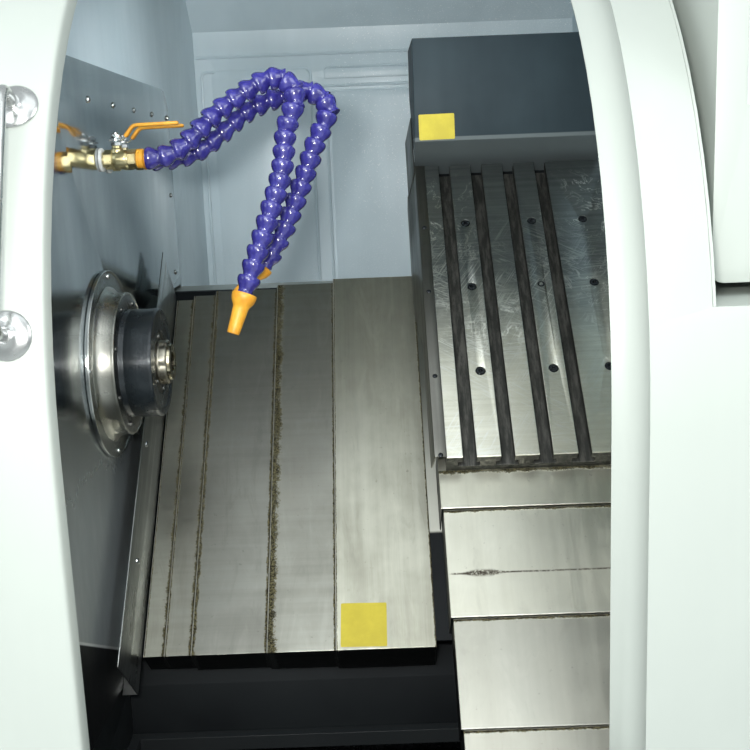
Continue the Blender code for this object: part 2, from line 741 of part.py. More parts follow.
collet = turned("collet",
                [(0.0130, shaft_end + 0.004), (spindle_bore + 0.0045, shaft_end + 0.004),
                 (spindle_bore + 0.0052, shaft_end - 0.001), (spindle_bore - 0.0006, collet_back),
                 (spindle_bore - 0.0006, shaft_end - 0.080), (0.0130, shaft_end - 0.080)], spindle_frame, 24,
                True, chrome)
slit = []
for k in range(3):
    blade = block("collet_slit", (collet_back - 0.010, -0.0006, 0.002), (shaft_end + 0.02, 0.0006, 0.04),
                  where=cutters)
    blade.matrix_world = Matrix.Translation((0, spindle_y, spindle_z)) @ Matrix.Rotation(math.radians(120 * k),
                                                                                         4, "X")
    slit.append(blade)
cut(collet, *slit)
pulley_left, pulley_right = head_left - 0.090, head_left - 0.060
pulley_bore = 0.0303
belt_gap = 0.0009
drive_pulley_radius = 0.070
motor_pulley_radius = 0.045


def pulley_profile(radius, bore, left, right):
    lip = 0.005
    return [(bore, right), (radius + 0.004, right), (radius + 0.004, right - lip * 0.6), (radius, right - lip),
            (radius, left + lip), (radius + 0.004, left + lip * 0.6), (radius + 0.004, left), (bore, left)]


spindle_pulley = turned("spindle_pulley",
                        pulley_profile(drive_pulley_radius, pulley_bore, pulley_left, pulley_right),
                        spindle_frame, 24, True, ground_steel)
cylinder_front, cylinder_back = pulley_left - 0.005, pulley_left - 0.135
draw_cylinder = turned("draw_cylinder",
                       [(pulley_bore, cylinder_front), (0.055, cylinder_front), (0.058, cylinder_front - 0.005),
                        (0.058, cylinder_front - 0.040), (0.072, cylinder_front - 0.045),
                        (0.072, cylinder_back + 0.035), (0.040, cylinder_back + 0.030), (0.040, cylinder_back),
                        (pulley_bore - 0.010, cylinder_back), (pulley_bore - 0.010, shaft_tail - gap),
                        (pulley_bore, shaft_tail - gap)], spindle_frame, 24, True, black_steel)
hang_on("spindle_axis", (0, spindle_y, spindle_z), spindle_shaft, collet, spindle_pulley, draw_cylinder)

# Spindle motor on a shelf behind the bed, and its belt
motor_y, motor_z = 0.330, slope_z + 0.0475
motor_radius = 0.085
motor_left, motor_right = head_left - 0.040, head_left + 0.230
motor_nose = pulley_right + 0.0025
shelf_z = motor_z - motor_radius - 0.020
motor_shelf = extrude("motor_shelf",
                      [[(0.180, shelf_z), (0.450, shelf_z), (0.450, shelf_z - 0.016), (0.350, shelf_z - 0.016),
                        (0.262, bed_floor + 0.10), (0.240, bed_floor + 0.10)]], motor_left + 0.030, motor_right,
                      where=cutters)
join(slant_bed, motor_shelf)
spindle_motor = turned("spindle_motor",
                       [(0, motor_right), (motor_radius - 0.008, motor_right),
                        (motor_radius, motor_right - 0.008), (motor_radius, motor_left + 0.035),
                        (motor_radius - 0.006, motor_left + 0.030), (motor_radius - 0.006, motor_left + 0.022),
                        (0.030, motor_left + 0.022), (0.030, motor_left + 0.012), (0.0142, motor_left + 0.012),
                        (0.0142, motor_nose), (0, motor_nose)], along_x(motor_y, motor_z), 28, False,
                       black_steel)
join(spindle_motor, block("motor_foot", (motor_left + 0.060, motor_y - 0.080, shelf_z + gap),
                          (motor_right - 0.030, motor_y + 0.080, motor_z - 0.050), where=cutters))
motor_pulley = turned("motor_pulley", pulley_profile(motor_pulley_radius, 0.0150, pulley_left, pulley_right),
                      along_x(motor_y, motor_z), 20, True, ground_steel)
cut(motor_pulley,
    cylinder("shaft_seat", 0.0151, pulley_right - 0.010, pulley_right + 0.010, along_x(motor_y, motor_z), 28,
             where=cutters))
hang_on("motor_axis", (0, motor_y, motor_z), motor_pulley)


def belt_outline(extra):
    """The loop round both pulleys, as one closed line of (y, z) points."""
    big, small = Vector((spindle_y, spindle_z)), Vector((motor_y, motor_z))
    big_r, small_r = drive_pulley_radius + extra, motor_pulley_radius + extra
    between = small - big
    heading = math.atan2(between.y, between.x)
    lean = math.acos((big_r - small_r) / between.length)
    points = []
    for k in range(17):
        angle = heading + lean + (2 * math.pi - 2 * lean) * k / 16
        points.append((big.x + big_r * math.cos(angle), big.y + big_r * math.sin(angle)))
    for k in range(13):
        angle = heading - lean + 2 * lean * k / 12
        points.append((small.x + small_r * math.cos(angle), small.y + small_r * math.sin(angle)))
    return points


belt_side = 0.006
drive_belt = extrude("drive_belt", [belt_outline(belt_gap + 0.0040), belt_outline(belt_gap)],
                     pulley_left + belt_side, pulley_right - belt_side, material=rubber)

# Cabin liner: side walls, back wall folded forward at its top, with pressed panels
liner_low = bed_floor
liner_top = height - sheet - gap
slope_foot = 0.375
back_line = [(back_wall_y, liner_low), (back_wall_y, back_bend_z), (slope_foot, liner_top - liner_sheet)]
left_in = bulkhead_x - thin_sheet - gap
seam = 0.0004
cabin_liner = extrude("cabin_liner", [folded(back_line, -liner_sheet)], left_in - liner_sheet + seam,
                      right_wall_x + liner_sheet - seam, material=pale_blue)
wall_line = front_line(liner_low + seam, bend_end_deg, -sheet - gap, liner_top - seam)
wall_outline = wall_line + [(slope_foot + seam * 2, liner_top - seam),
                            (back_wall_y + liner_sheet * 0.5, back_bend_z),
                            (back_wall_y + liner_sheet * 0.5, liner_low + seam)]
left_wall = extrude("left_wall", [wall_outline, circle(spindle_y, spindle_z, ring_radius + 0.002)],
                    left_in - liner_sheet, left_in, where=cutters)
right_wall = extrude("right_wall", [wall_outline], right_wall_x, right_wall_x + liner_sheet, where=cutters)
pads = []
for low_x, high_x, below_top in ((-0.215, -0.020, 0.167), (0.021, 0.480, 0.214)):
    outline = rectangle(low_x, base_top + 0.210, high_x, height - below_top, 0.012)
    pads.append(extrude("pressed_panel", [outline], -back_wall_y - 0.001, -back_wall_y + 0.0035, ALONG_Y,
                        where=cutters))
pads.append(extrude("pressed_strip", [rectangle(0.010, height - 0.187, 0.480, height - 0.168, 0.004)],
                    -back_wall_y - 0.001, -back_wall_y + 0.0035, ALONG_Y, where=cutters))
join(cabin_liner, left_wall, right_wall)
bed_gap = 0.004
bed_notch = extrude("bed_notch",
                    [[(bed_front_top[0] - bed_gap - 0.01, liner_low - 0.02), (0.312, liner_low - 0.02),
                      (bed_back_y + bed_gap, bed_rear_top[1] + bed_gap),
                      (bed_rear_top[0] - bed_gap * 0.5, bed_rear_top[1] + bed_gap),
                      (bed_front_top[0] - bed_gap - 0.005, bed_front_top[1] + bed_gap)]], bulkhead_x - 0.05,
                    right_wall_x + 0.05, where=cutters)
screw_notch = block("screw_notch", (right_wall_x - 0.02, z_screw_t - 0.02, z_screw_h - 0.04),
                    (right_wall_x + 0.02, z_screw_t + 0.02, z_screw_h + 0.03), True, where=cutters)
recess_notch = block("recess_notch", (right_wall_x - 0.02, front_y - 0.1, recess_floor - sheet - gap),
                     (right_wall_x + 0.02, recess_back + sheet + gap, height + 0.1), where=cutters)
cut(cabin_liner, bed_notch, screw_notch, recess_notch)
join(cabin_liner, *pads)

# Stainless bulkhead in front of the left wall
bulkhead_rear = 0.136
bulkhead_top = height - 0.224
bulkhead_low = base_top + 0.090
bulkhead_front = [p for p in front_line(bulkhead_low, 45.0, -0.006) if p[1] < bulkhead_top]
last_angle = math.degrees(math.asin((bulkhead_top - bend_height) / (bend_radius - 0.006)))
bulkhead_front.append(front_arc(last_angle, -0.006))
rear_corner = rounded([(bulkhead_front[-1][0], bulkhead_top, 0), (bulkhead_rear, bulkhead_top, 0.040),
                       (bulkhead_rear, bed_rear_top[1] + 0.0207, 0)])[1:]
bulkhead_outline = bulkhead_front + rear_corner + [(bed_back_y - 0.10, bed_rear_top[1] + 0.0107),
                                                   (bed_front_top[0] - 0.03, bulkhead_low)]
bulkhead = extrude("bulkhead", [bulkhead_outline, circle(spindle_y, spindle_z, ring_radius + 0.002)],
                   bulkhead_x - thin_sheet, bulkhead_x, material=stainless)

# Upright guard beside the covers
fin_x = -0.2265
fin_top_h = 0.037
fin_section = [(bulkhead_x + gap, -0.150), (fin_x, -0.150), (fin_x, -fin_top_h)]
way_guard = extrude("way_guard", [folded(fin_section, thin_sheet)], -0.400, 0.248, ALONG_Y, True, stainless)

# Telescopic covers
def z_cover(k):
    """One sheet box of the Z covers: a folded hood with its side walls, and a lip at its left edge."""
    name = z_cover_names[k]
    last = len(z_cover_names) - 1
    nest = (last - k) * z_cover_nest
    top = z_cover_h + (last - k) * z_cover_step
    low, high = z_cover_low + nest, z_cover_high - nest
    foot = bed_h - gap if k == 0 else bed_h - 0.008
    left = z_cover_left[k]
    right = left + z_cover_length[k]
    line = [(low, -foot), (low, -top), (high, -top), (high, -foot)]
    cover = extrude(name, [folded(line, -thin_sheet)], left, right, ALONG_X, True, cover_steel)
    lip_end = top + z_cover_step - 0.0006 if k else bed_h - 0.006
    lip = block(name + "_lip", (left, low + 0.0002, top + 0.0002), (left + thin_sheet, high - 0.0002, lip_end),
                True, where=cutters)
    return join(cover, lip)


def x_cover(k):
    """One sheet box of the X covers, with a lip at its lower edge."""
    name = x_cover_names[k]
    nest = k * x_cover_nest
    top = x_cover_h + k * x_cover_step
    left = x_cover_left + nest
    right = plate_left + plate_right - left
    foot = 0.125 if k == len(x_cover_names) - 1 else 0.100
    line = [(left, -foot), (left, -top), (right, -top), (right, -foot)]
    low, high = x_cover_low[k], x_cover_high[k]
    cover = extrude(name, [folded(line, -thin_sheet)], -high, -low, ALONG_Y, True, cover_steel)
    lip = block(name + "_lip", (left + 0.0002, low, top + 0.0002), (right - 0.0002, low + thin_sheet,
                top + x_cover_step - 0.0006), True, where=cutters)
    return join(cover, lip)


z_covers = [z_cover(k) for k in range(len(z_cover_names))]
x_covers = [x_cover(k) for k in range(len(x_cover_names))]

# Saddle with the X rails, and the bearing blocks that run on the Z rails
saddle_left = plate_left + 0.0021
saddle_right = plate_left + plate_right - saddle_left
rail_top_h = plate_thick + gap + carriage_thick + 0.007
saddle_top = rail_top_h + rail_height
saddle_foot = saddle_top + saddle_thick
saddle_outline = rounded([(saddle_left, saddle_low, 0), (saddle_right, saddle_low, 0),
                          (saddle_right, saddle_high, 0.02), (saddle_left, saddle_high, 0.02)])
saddle = extrude("saddle", [saddle_outline], -saddle_foot, -saddle_top, ALONG_Z, True, casting)


def runner_block(name, axis, middle, low, high, top_h, foot_h, rail_top, half=0.030):
    """A bearing block that wraps a rail, open towards the rail's foot; drawn across the rail."""
    inner = rail_width / 2 + block_clear
    top, foot, channel = -top_h, -foot_h, -(rail_top - block_clear)
    outline = [(middle - half, top), (middle - half, foot), (middle - inner, foot), (middle - inner, channel),
               (middle + inner, channel), (middle + inner, foot), (middle + half, foot), (middle + half, top)]
    return extrude(name, [outline], low, high, axis, True, where=cutters)


z_rail_top = bed_h - rail_height
block_length = 0.080
saddle_blocks = []
for t in (z_rail_low, z_rail_high):
    for low_x in (saddle_left + 0.010, saddle_right - 0.010 - block_length):
        saddle_blocks.append(runner_block("z_block", ALONG_X, t, low_x, low_x + block_length,
                                          saddle_foot - 0.001, bed_h - 0.004, z_rail_top))
nut = extrude("z_nut",
              [rectangle(z_screw_t - 0.024, -z_screw_h - 0.022, z_screw_t + 0.024, -saddle_foot + 0.002),
               circle(z_screw_t, -z_screw_h, screw_hole, 16)], 0.290, 0.350, ALONG_X, True, where=cutters)
ledge_h = z_cover_h + thin_sheet + gap
cover_ledge = block("cover_ledge", (z_cover_left[-1] + z_cover_length[-1] - 0.012, -0.200, ledge_h),
                    (saddle_left + 0.002, 0.380, ledge_h + 0.004), True, where=cutters)
join(saddle, *saddle_blocks, nut, cover_ledge)
x_rail_places = (plate_left + x_rail_inset, plate_right - x_rail_inset)
x_rails = [extrude("x_rail", [rail_outline(x, rail_top_h, saddle_top + 0.001)], -0.605, 0.065, ALONG_Y, True,
                   where=cutters) for x in x_rail_places]
join(saddle, *x_rails)
x_mid = (plate_left + plate_right) / 2
x_screw_h = rail_top_h + 0.006
x_screw_radius = 0.0082
x_screw_hole = x_screw_radius + 0.0010
x_bearing = [rectangle(x_mid - 0.024, -saddle_top - 0.003, x_mid + 0.024, -x_screw_h + 0.016, 0.004),
             circle(x_mid, -x_screw_h, x_screw_hole, 16)]
x_bearings = [extrude("x_bearing", x_bearing, -low - 0.022, -low, ALONG_Y, True, where=cutters)
              for low in (-0.085, 0.596)]
join(saddle, *x_bearings)
slope_rotation = Matrix.Rotation(math.radians(slope_deg), 4, "X")
UP_SLOPE = Matrix.Rotation(math.radians(-90), 4, "X")


def along_slope(x, h, t=0.0):
    """Places a turned piece with its local Z axis up the slope."""
    return Matrix.Translation(on_slope(x, t, h)) @ slope_rotation @ UP_SLOPE


x_ballscrew = cylinder("x_ballscrew", x_screw_radius, -0.090, 0.6245, along_slope(x_mid, x_screw_h), 16,
                       ground_steel)
hang_on("x_screw_axis", on_slope(x_mid, 0, x_screw_h), x_ballscrew)
x_motor_half = 0.036
x_motor = extrude("x_motor",
                  [rectangle(x_mid - x_motor_half, -x_screw_h - x_motor_half, x_mid + x_motor_half,
                             -x_screw_h + x_motor_half, 0.008)], -0.755, -0.6385, ALONG_Y, True, black_steel)
motor_plate = extrude("x_motor_plate", [rectangle(x_mid - 0.042, -saddle_foot + 0.010, x_mid + 0.042,
                                                  -x_screw_h + 0.040, 0.006),
                                        circle(x_mid, -x_screw_h, x_screw_hole, 16)],
                      -0.6382, -saddle_high + 0.002, ALONG_Y, True, where=cutters)
join(saddle, motor_plate)

# X carriage, tool plate, hood and side guard
carriage_top = plate_thick + gap
carriage_foot = carriage_top + carriage_thick
x_carriage = extrude("x_carriage", [rounded([(plate_left + 0.015, carriage_low, 0.008),
                                             (plate_right - 0.015, carriage_low, 0.008),
                                             (plate_right - 0.015, carriage_high, 0.008),
                                             (plate_left + 0.015, carriage_high, 0.008)])],
                     -carriage_foot, -carriage_top, ALONG_Z, True, casting)
carriage_blocks = []
for x in x_rail_places:
    for low_t in (carriage_low + 0.020, 0.430):
        carriage_blocks.append(runner_block("x_block", ALONG_Y, x, -low_t - 0.070, -low_t,
                                            carriage_foot - 0.001, saddle_top - 0.003, rail_top_h))
x_nut = extrude("x_nut",
                [rectangle(x_mid - 0.020, -x_screw_h - 0.017, x_mid + 0.020, -carriage_foot + 0.002),
                 circle(x_mid, -x_screw_h, x_screw_hole, 16)], -0.340, -0.280, ALONG_Y, True, where=cutters)
join(x_carriage, *carriage_blocks, x_nut)


def slot_outline(k):
    """Section of one T-slot, from above the working face to the floor of its head."""
    middle = slot_first + slot_pitch * k
    mouth, head = slot_width / 2, slot_head_width / 2
    floor = -slot_neck - slot_head
    return [(middle - head, floor), (middle + head, floor), (middle + head, -slot_neck),
            (middle + mouth, -slot_neck), (middle + mouth, 0.01), (middle - mouth, 0.01),
            (middle - mouth, -slot_neck), (middle - head, -slot_neck)]


tool_plate = block("tool_plate", (plate_left, 0, 0), (plate_right, plate_length, plate_thick), True,
                   ground_steel)
cut(tool_plate, *[extrude("t_slot", [slot_outline(k)], -plate_length - 0.01, 0.01, ALONG_Y, True, where=cutters)
                  for k in range(slot_count)])
screw_columns = [slot_first + slot_pitch * 0.5, slot_first + slot_pitch * 2.5, plate_right - 0.048]
screw_rows = [0.134, 0.281, 0.403]
seats = [cylinder("screw_seat", plate_screw_radius, -plate_screw_depth, 0.01,
                  SLOPE @ Matrix.Translation((x, t, 0)), 12, where=cutters)
         for x in screw_columns for t in screw_rows]
cut(tool_plate, *seats)

hood_left, hood_right = 0.1675, 0.4600
hood_lip = (slope_y + 0.335, slope_z + 0.4085)
hood_brow = (slope_y + 0.347, slope_z + 0.5625)
hood_back = slope_y + 0.527
hood_foot = yz(0.5406, plate_thick)
hood_line = [hood_foot, yz(0.5406, 0.001), hood_lip, hood_brow, (hood_back, hood_brow[1])]
slide_hood = extrude("slide_hood", [folded(hood_line, -0.002)], hood_left, hood_right, material=dark_sheet)
cheek = [yz(0.5420, 0.002), hood_lip, hood_brow, (hood_back, hood_brow[1]), (hood_back, hood_brow[1] - 0.080)]
for x in (hood_left, hood_right - 0.002):
    join(slide_hood, extrude("hood_cheek", [cheek], x, x + 0.002, where=cutters))
guard_section = [(plate_left - gap, 0.0), (0.1675, 0.0), (0.1665, -0.010), (0.1560, -0.070), (0.1560, -0.100)]
side_guard = extrude("side_guard", [folded(guard_section, thin_sheet)], -0.526, -0.002, ALONG_Y, True,
                     cover_steel)
cut(side_guard,
    extrude("guard_cutter", [[(-0.05, -0.030), (0.20, -0.030), (0.36, -0.110), (0.36, -0.2), (-0.05, -0.2)]],
            0.10, 0.20, ALONG_X, True, where=cutters))
guard_wing = extrude("guard_wing", [folded([(0.1657, -0.0035), (0.1570, -0.060)], thin_sheet)], -0.640, -0.515,
                     ALONG_Y, True, where=cutters)
join(side_guard, guard_wing)
hang_on("saddle_axis", on_slope(x_mid, 0, saddle_top), saddle, x_motor, z_covers[-1], x_covers[-1])
hang_on("slide_axis", on_slope(x_mid, 0, 0), tool_plate, x_carriage, slide_hood, side_guard, x_covers[0])
for cover in z_covers[1:-1] + x_covers[1:-1]:
    hang_on(cover.name + "_axis", on_slope(0, 0, z_cover_h), cover)

# Coolant valves, hoses and nozzles
valve_profile = [(0.0, 0.0448), (0.0095, 0.0448), (0.0095, 0.038), (0.0125, 0.038), (0.0125, 0.030),
                 (0.0145, 0.028), (0.0145, 0.016), (0.0125, 0.014), (0.0125, 0.007), (0.0155, 0.007),
                 (0.0155, 0.0), (0.0, 0.0)]
lever_lift = 0.0300


def bead_path(route, steps=8):
    """Smooth points through the route's own points."""
    points = [Vector(p) for p in route]
    points = [points[0] * 2 - points[1]] + points + [points[-1] * 2 - points[-2]]
    smooth = []
    for a, b, c, d in zip(points, points[1:], points[2:], points[3:]):
        for k in range(steps):
            u = k / steps
            smooth.append(0.5 * ((2 * b) + (c - a) * u + (2 * a - 5 * b + 4 * c - d) * u ** 2
                                 + (3 * b - a - 3 * c + d) * u ** 3))
    smooth.append(points[-2])
    return smooth


def along_path(points, distances):
    """Points at the given distances along a line of points."""
    found, travelled, i = [], 0.0, 0
    for distance in distances:
        while i < len(points) - 2 and travelled + (points[i + 1] - points[i]).length < distance:
            travelled += (points[i + 1] - points[i]).length
            i += 1
        step = points[i + 1] - points[i]
        found.append(points[i] + step.normalized() * (distance - travelled))
    return found


def bead_hose(name, route):
    """A coolant hose of ball segments: one bent bar whose radius swells at each ball."""
    line = bead_path(route)
    length = sum((b - a).length for a, b in zip(line, line[1:]))
    count = round(length / bead_pitch)
    pitch = length / count
    stations = []
    for k in range(count):
        stations += [(k * pitch + pitch * part, size) for part,
                     size in ((0.0, neck_radius), (0.22, bead_radius * 0.88), (0.45, bead_radius),
                              (0.74, bead_radius * 0.86))]
    stations.append((length, neck_radius))
    places = along_path(line, [distance for distance, size in stations])
    path = bpy.data.curves.new(name, "CURVE")
    path.dimensions = "3D"
    path.bevel_depth = 1.0
    path.bevel_resolution = 2
    path.use_fill_caps = True
    thread = path.splines.new("POLY")
    thread.points.add(len(places) - 1)
    for point, place, (distance, size) in zip(thread.points, places, stations):
        point.co = (*place, 1)
        point.radius = size
    source = bpy.data.objects.new(name, path)
    bpy.context.scene.collection.objects.link(source)
    return finish(as_mesh(source, Matrix.Identity(4)), name, blue)


hose_start = bulkhead_x + valve_reach
front_route = [(0.0008, 0.0000, 0.0000), (0.0180, 0.0000, 0.0005), (0.0470, 0.0040, 0.0140),
               (0.0870, 0.0160, 0.0510), (0.1190, 0.0210, 0.0730), (0.1540, 0.0240, 0.0920),
               (0.1760, 0.0230, 0.0920), (0.1910, 0.0180, 0.0780), (0.1890, 0.0100, 0.0540),
               (0.1800, 0.0020, 0.0280), (0.1730, -0.0210, -0.0250), (0.1550, -0.0460, -0.0820),
               (0.1350, -0.0620, -0.1380), (0.1244, -0.0705, -0.1692)]
rear_route = [(0.0008, 0.0000, 0.0000), (0.0180, 0.0000, 0.0002), (0.0430, 0.0030, 0.0040),
              (0.0660, 0.0040, 0.0130), (0.0940, 0.0080, 0.0330), (0.1220, 0.0120, 0.0550),
              (0.1520, 0.0140, 0.0690), (0.1970, 0.0160, 0.0810), (0.2210, 0.0130, 0.0740),
              (0.2320, 0.0080, 0.0600), (0.2300, 0.0030, 0.0450), (0.2150, -0.0060, 0.0130),
              (0.2020, -0.0170, -0.0220), (0.1790, -0.0360, -0.0780), (0.1665, -0.0450, -0.1030),
              (0.1534, -0.0500, -0.1256), (0.1430, -0.0525, -0.1375)]
ball_radius = 0.0095
ball_drop = ball_radius + 0.0006
nozzle_profile = [(ball_radius * math.sin(a), ball_radius * math.cos(a))
                  for a in [math.radians(18 * k) for k in range(6)]]
nozzle_profile += [(0.0125, -0.0005), (0.0135, -0.004), (0.0118, -0.008), (0.0095, -0.012), (0.0072, -0.043),
                   (0.0045, -0.043), (0.0045, -0.020), (0.0, -0.020)]
for side, route in (("front", front_route), ("rear", rear_route)):
    k = 0 if side == "front" else 1
    route = [Vector(point) + Vector((hose_start, valve_y[k], valve_z[k])) for point in route]
    body = turned(side + "_valve", valve_profile, along_x(valve_y[k], valve_z[k], bulkhead_x + gap), 20, False,
                  brass)
    stem = cylinder(side + "_stem", 0.0055, 0.0, lever_lift - 0.0072,
                    Matrix.Translation((bulkhead_x + 0.022, valve_y[k], valve_z[k])), 16, where=cutters)
    spigot = turned(side + "_spigot",
                    [(0.0, 0.0590), (0.0085, 0.0590), (0.0108, 0.056), (0.0115, 0.046), (0.0115, 0.044),
                     (0.0, 0.044)], along_x(valve_y[k], valve_z[k], bulkhead_x), 20, where=cutters)
    join(body, stem, spigot)
    lever_line = [(-0.008, 0.0), (0.008, 0.0), (0.024, 0.0175), (0.081, 0.0185)]
    lever = extrude(side + "_valve_lever", [folded(lever_line, 0.0022)], -0.0045, 0.0045, ALONG_Y,
                    material=orange)
    lever.matrix_world = Matrix.Translation((bulkhead_x + 0.022, valve_y[k], valve_z[k] + lever_lift - 0.0069))
    hang_on(side + "_lever_axis", (bulkhead_x + 0.022, valve_y[k], valve_z[k]), lever)
    bead_hose(side + "_coolant_hose", route)
    end, heading = route[-1], (route[-1] - route[-2]).normalized()
    pivot = end + heading * ball_drop
    place = Matrix.Translation(pivot) @ (-heading).to_track_quat("Z", "X").to_matrix().to_4x4()
    nozzle = turned(side + "_nozzle", nozzle_profile, place, 20, False, orange)
    hang_on(side + "_nozzle_axis", pivot, nozzle)

# Control box in its recess
box_left, box_right = recess_left + 0.020, half_width - 0.015
box_front, box_back = recess_back - 0.220, recess_back - gap
box_bottom, box_top = recess_floor + 0.014, height - 0.090
control_box = extrude("control_box", [rectangle(box_left, box_bottom, box_right, box_top, 0.012)], -box_back,
                      -box_front, ALONG_Y, material=white)
screen_left, screen_right = box_left + 0.030, box_right - 0.160
screen_low, screen_high = box_top - 0.230, box_top - 0.040
button_x, button_z = box_right - 0.085, box_bottom + 0.081
cut(control_box,
    extrude("screen_cutter", [rectangle(screen_left, screen_low, screen_right, screen_high, 0.006)],
            -box_front - 0.012, -box_front + 0.01, ALONG_Y, where=cutters))
control_screen = extrude("control_screen", [rectangle(screen_left + gap, screen_low + gap, screen_right - gap,
                                                      screen_high - gap, 0.006)],
                         -box_front - 0.0117, -box_front - 0.003, ALONG_Y, material=screen_grey)
TO_FRONT = Matrix.Rotation(math.radians(90), 4, "X")
button_travel = 0.004


def press_button(name, x, z, profile, hole_radius, hole_depth, material, steps=24):
    """A round button standing in a blind hole of the control box's face."""
    place = Matrix.Translation((x, box_front, z)) @ TO_FRONT
    cut(control_box, cylinder(name + "_hole", hole_radius, -hole_depth, 0.01, place, steps, where=cutters))
    button = turned(name, profile, place, steps, False, material)
    hang_on(name + "_axis", (x, box_front, z), button)
    return button


stop_clear = button_travel + gap
press_button("emergency_stop", button_x, box_top - 0.090,
             [(0, 0.030), (0.012, 0.029), (0.020, 0.024), (0.0200, 0.018), (0.011, 0.013), (0.011, -0.015),
              (0, -0.015)], 0.0116, 0.015 + stop_clear, red)
press_button("start_button", button_x - 0.025, button_z,
             [(0, 0.008), (0.0095, 0.008), (0.011, 0.0065), (0.011, -0.010), (0, -0.010)], 0.0116,
             0.010 + stop_clear, green)
press_button("stop_button", button_x + 0.025, button_z,
             [(0, 0.008), (0.0095, 0.008), (0.011, 0.0065), (0.011, -0.010), (0, -0.010)], 0.0116,
             0.010 + stop_clear, red)
press_button("override_knob", button_x, box_top - 0.200,
             [(0, 0.020), (0.013, 0.020), (0.016, 0.017), (0.018, gap), (0.007, gap), (0.007, -0.012),
              (0, -0.012)], 0.0076, 0.0123, rubber)

# Electrical cabinet on the rear cover, with its door and latch
door_sheet = 0.018
cabinet_front = cover_back + sheet + gap
cabinet_face = cabinet_front + 0.0769
electrical_cabinet = block("electrical_cabinet", (cabinet_left, cabinet_front, cabinet_bottom),
                           (cabinet_right, cabinet_face, cabinet_top), material=white)
cut(electrical_cabinet,
    block("cabinet_hollow", (cabinet_left + sheet, cabinet_front + sheet, cabinet_bottom + sheet),
          (cabinet_right - sheet, cabinet_face + 0.01, cabinet_top - sheet), where=cutters))
cabinet_door = extrude("cabinet_door",
                       [rectangle(cabinet_left, cabinet_bottom, cabinet_right, cabinet_top, 0.004)],
                       -cabinet_face - door_sheet, -cabinet_face - gap, ALONG_Y, material=white)
cut(cabinet_door,
    extrude("door_hollow",
            [rectangle(cabinet_left + 0.004, cabinet_bottom + 0.004, cabinet_right - 0.004, cabinet_top - 0.004,
                       0.002)], -cabinet_face - door_sheet + 0.002, -cabinet_face + 0.01, ALONG_Y,
            where=cutters))
latch_x, latch_z = cabinet_left + 0.035, (cabinet_bottom + cabinet_top) / 2
latch_back = cabinet_face + door_sheet + gap
latch_proud = 0.0157
TO_REAR = Matrix.Rotation(math.radians(-90), 4, "X")
cabinet_latch = turned("cabinet_latch",
                       [(0, latch_proud), (0.010, latch_proud), (0.012, latch_proud - 0.002), (0.012, 0),
                        (0, 0)], Matrix.Translation((latch_x, latch_back, latch_z)) @ TO_REAR, 24, False,
                       rubber)
join(cabinet_latch,
     extrude("latch_grip",
             [rectangle(latch_x - 0.008, latch_z - 0.090, latch_x + 0.008, latch_z + 0.004, 0.005)],
             -latch_back - latch_proud + 0.001, -latch_back - 0.003, ALONG_Y, where=cutters))
hinge_out = 0.004
hang_on("cabinet_door_axis", (cabinet_right + hinge_out, cabinet_face + door_sheet, 0), cabinet_door)
hang_on("cabinet_latch_axis", (latch_x, latch_back, latch_z), cabinet_latch)

# Chip drawer on its runners
tray_wall = 0.002
tray_low = runner_top + gap
tray_left, tray_right = drawer_left + 0.001, drawer_right - 0.001
tray_back = bay_back - 0.020
tray_front = front_y + sheet
tray_high = base_top - 0.130
chip_drawer = block("chip_drawer", (tray_left, tray_front - 0.001, tray_low),
                    (tray_right, tray_back, tray_high), material=black_steel)
cut(chip_drawer, block("tray_hollow", (tray_left + tray_wall, tray_front + 0.002, tray_low + tray_wall),
                       (tray_right - tray_wall, tray_back - tray_wall, tray_high + 0.02), where=cutters))
drawer_face = extrude("drawer_face", [rectangle(drawer_left, drawer_bottom, drawer_right, drawer_top, 0.006)],
                      -tray_front, -front_y, ALONG_Y, where=cutters)
grip_z = drawer_top - 0.060
drawer_grip = tube("drawer_grip", [(-0.020, front_y + 0.001, grip_z), (-0.020, front_y - 0.030, grip_z),
                                   (0.170, front_y - 0.030, grip_z), (0.170, front_y + 0.001, grip_z)], 0.005)
join(chip_drawer, drawer_face, drawer_grip)
hang_on("drawer_axis", (0, front_y, runner_top), chip_drawer)
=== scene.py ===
# %% [markdown]
# # A slant-bed turning lathe, seen through its open door
#
# The imported model is the fixed skeleton of this scene: every piece made here sits on it and moves with it.

# %% Load the imported machine
import json
import math

import bmesh
import bpy
from mathutils import Matrix, Vector
from mathutils.bvhtree import BVHTree


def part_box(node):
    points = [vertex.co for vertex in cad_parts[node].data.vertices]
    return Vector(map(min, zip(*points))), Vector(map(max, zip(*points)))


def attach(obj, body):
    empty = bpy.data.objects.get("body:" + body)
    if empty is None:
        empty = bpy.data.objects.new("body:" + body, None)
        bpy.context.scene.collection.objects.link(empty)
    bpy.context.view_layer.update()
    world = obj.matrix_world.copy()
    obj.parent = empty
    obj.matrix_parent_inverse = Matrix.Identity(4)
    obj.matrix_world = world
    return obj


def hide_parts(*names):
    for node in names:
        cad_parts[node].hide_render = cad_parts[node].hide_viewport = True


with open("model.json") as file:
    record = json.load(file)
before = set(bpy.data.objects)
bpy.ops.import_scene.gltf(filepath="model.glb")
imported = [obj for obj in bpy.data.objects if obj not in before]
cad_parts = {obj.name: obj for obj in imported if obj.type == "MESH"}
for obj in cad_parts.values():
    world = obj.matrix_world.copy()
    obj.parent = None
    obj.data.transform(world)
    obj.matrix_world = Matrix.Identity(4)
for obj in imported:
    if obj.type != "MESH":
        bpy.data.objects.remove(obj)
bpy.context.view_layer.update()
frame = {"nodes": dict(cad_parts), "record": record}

node_body = {name: body for body, names in frame["record"]["behaviour"]["bodies"].items() for name in names}
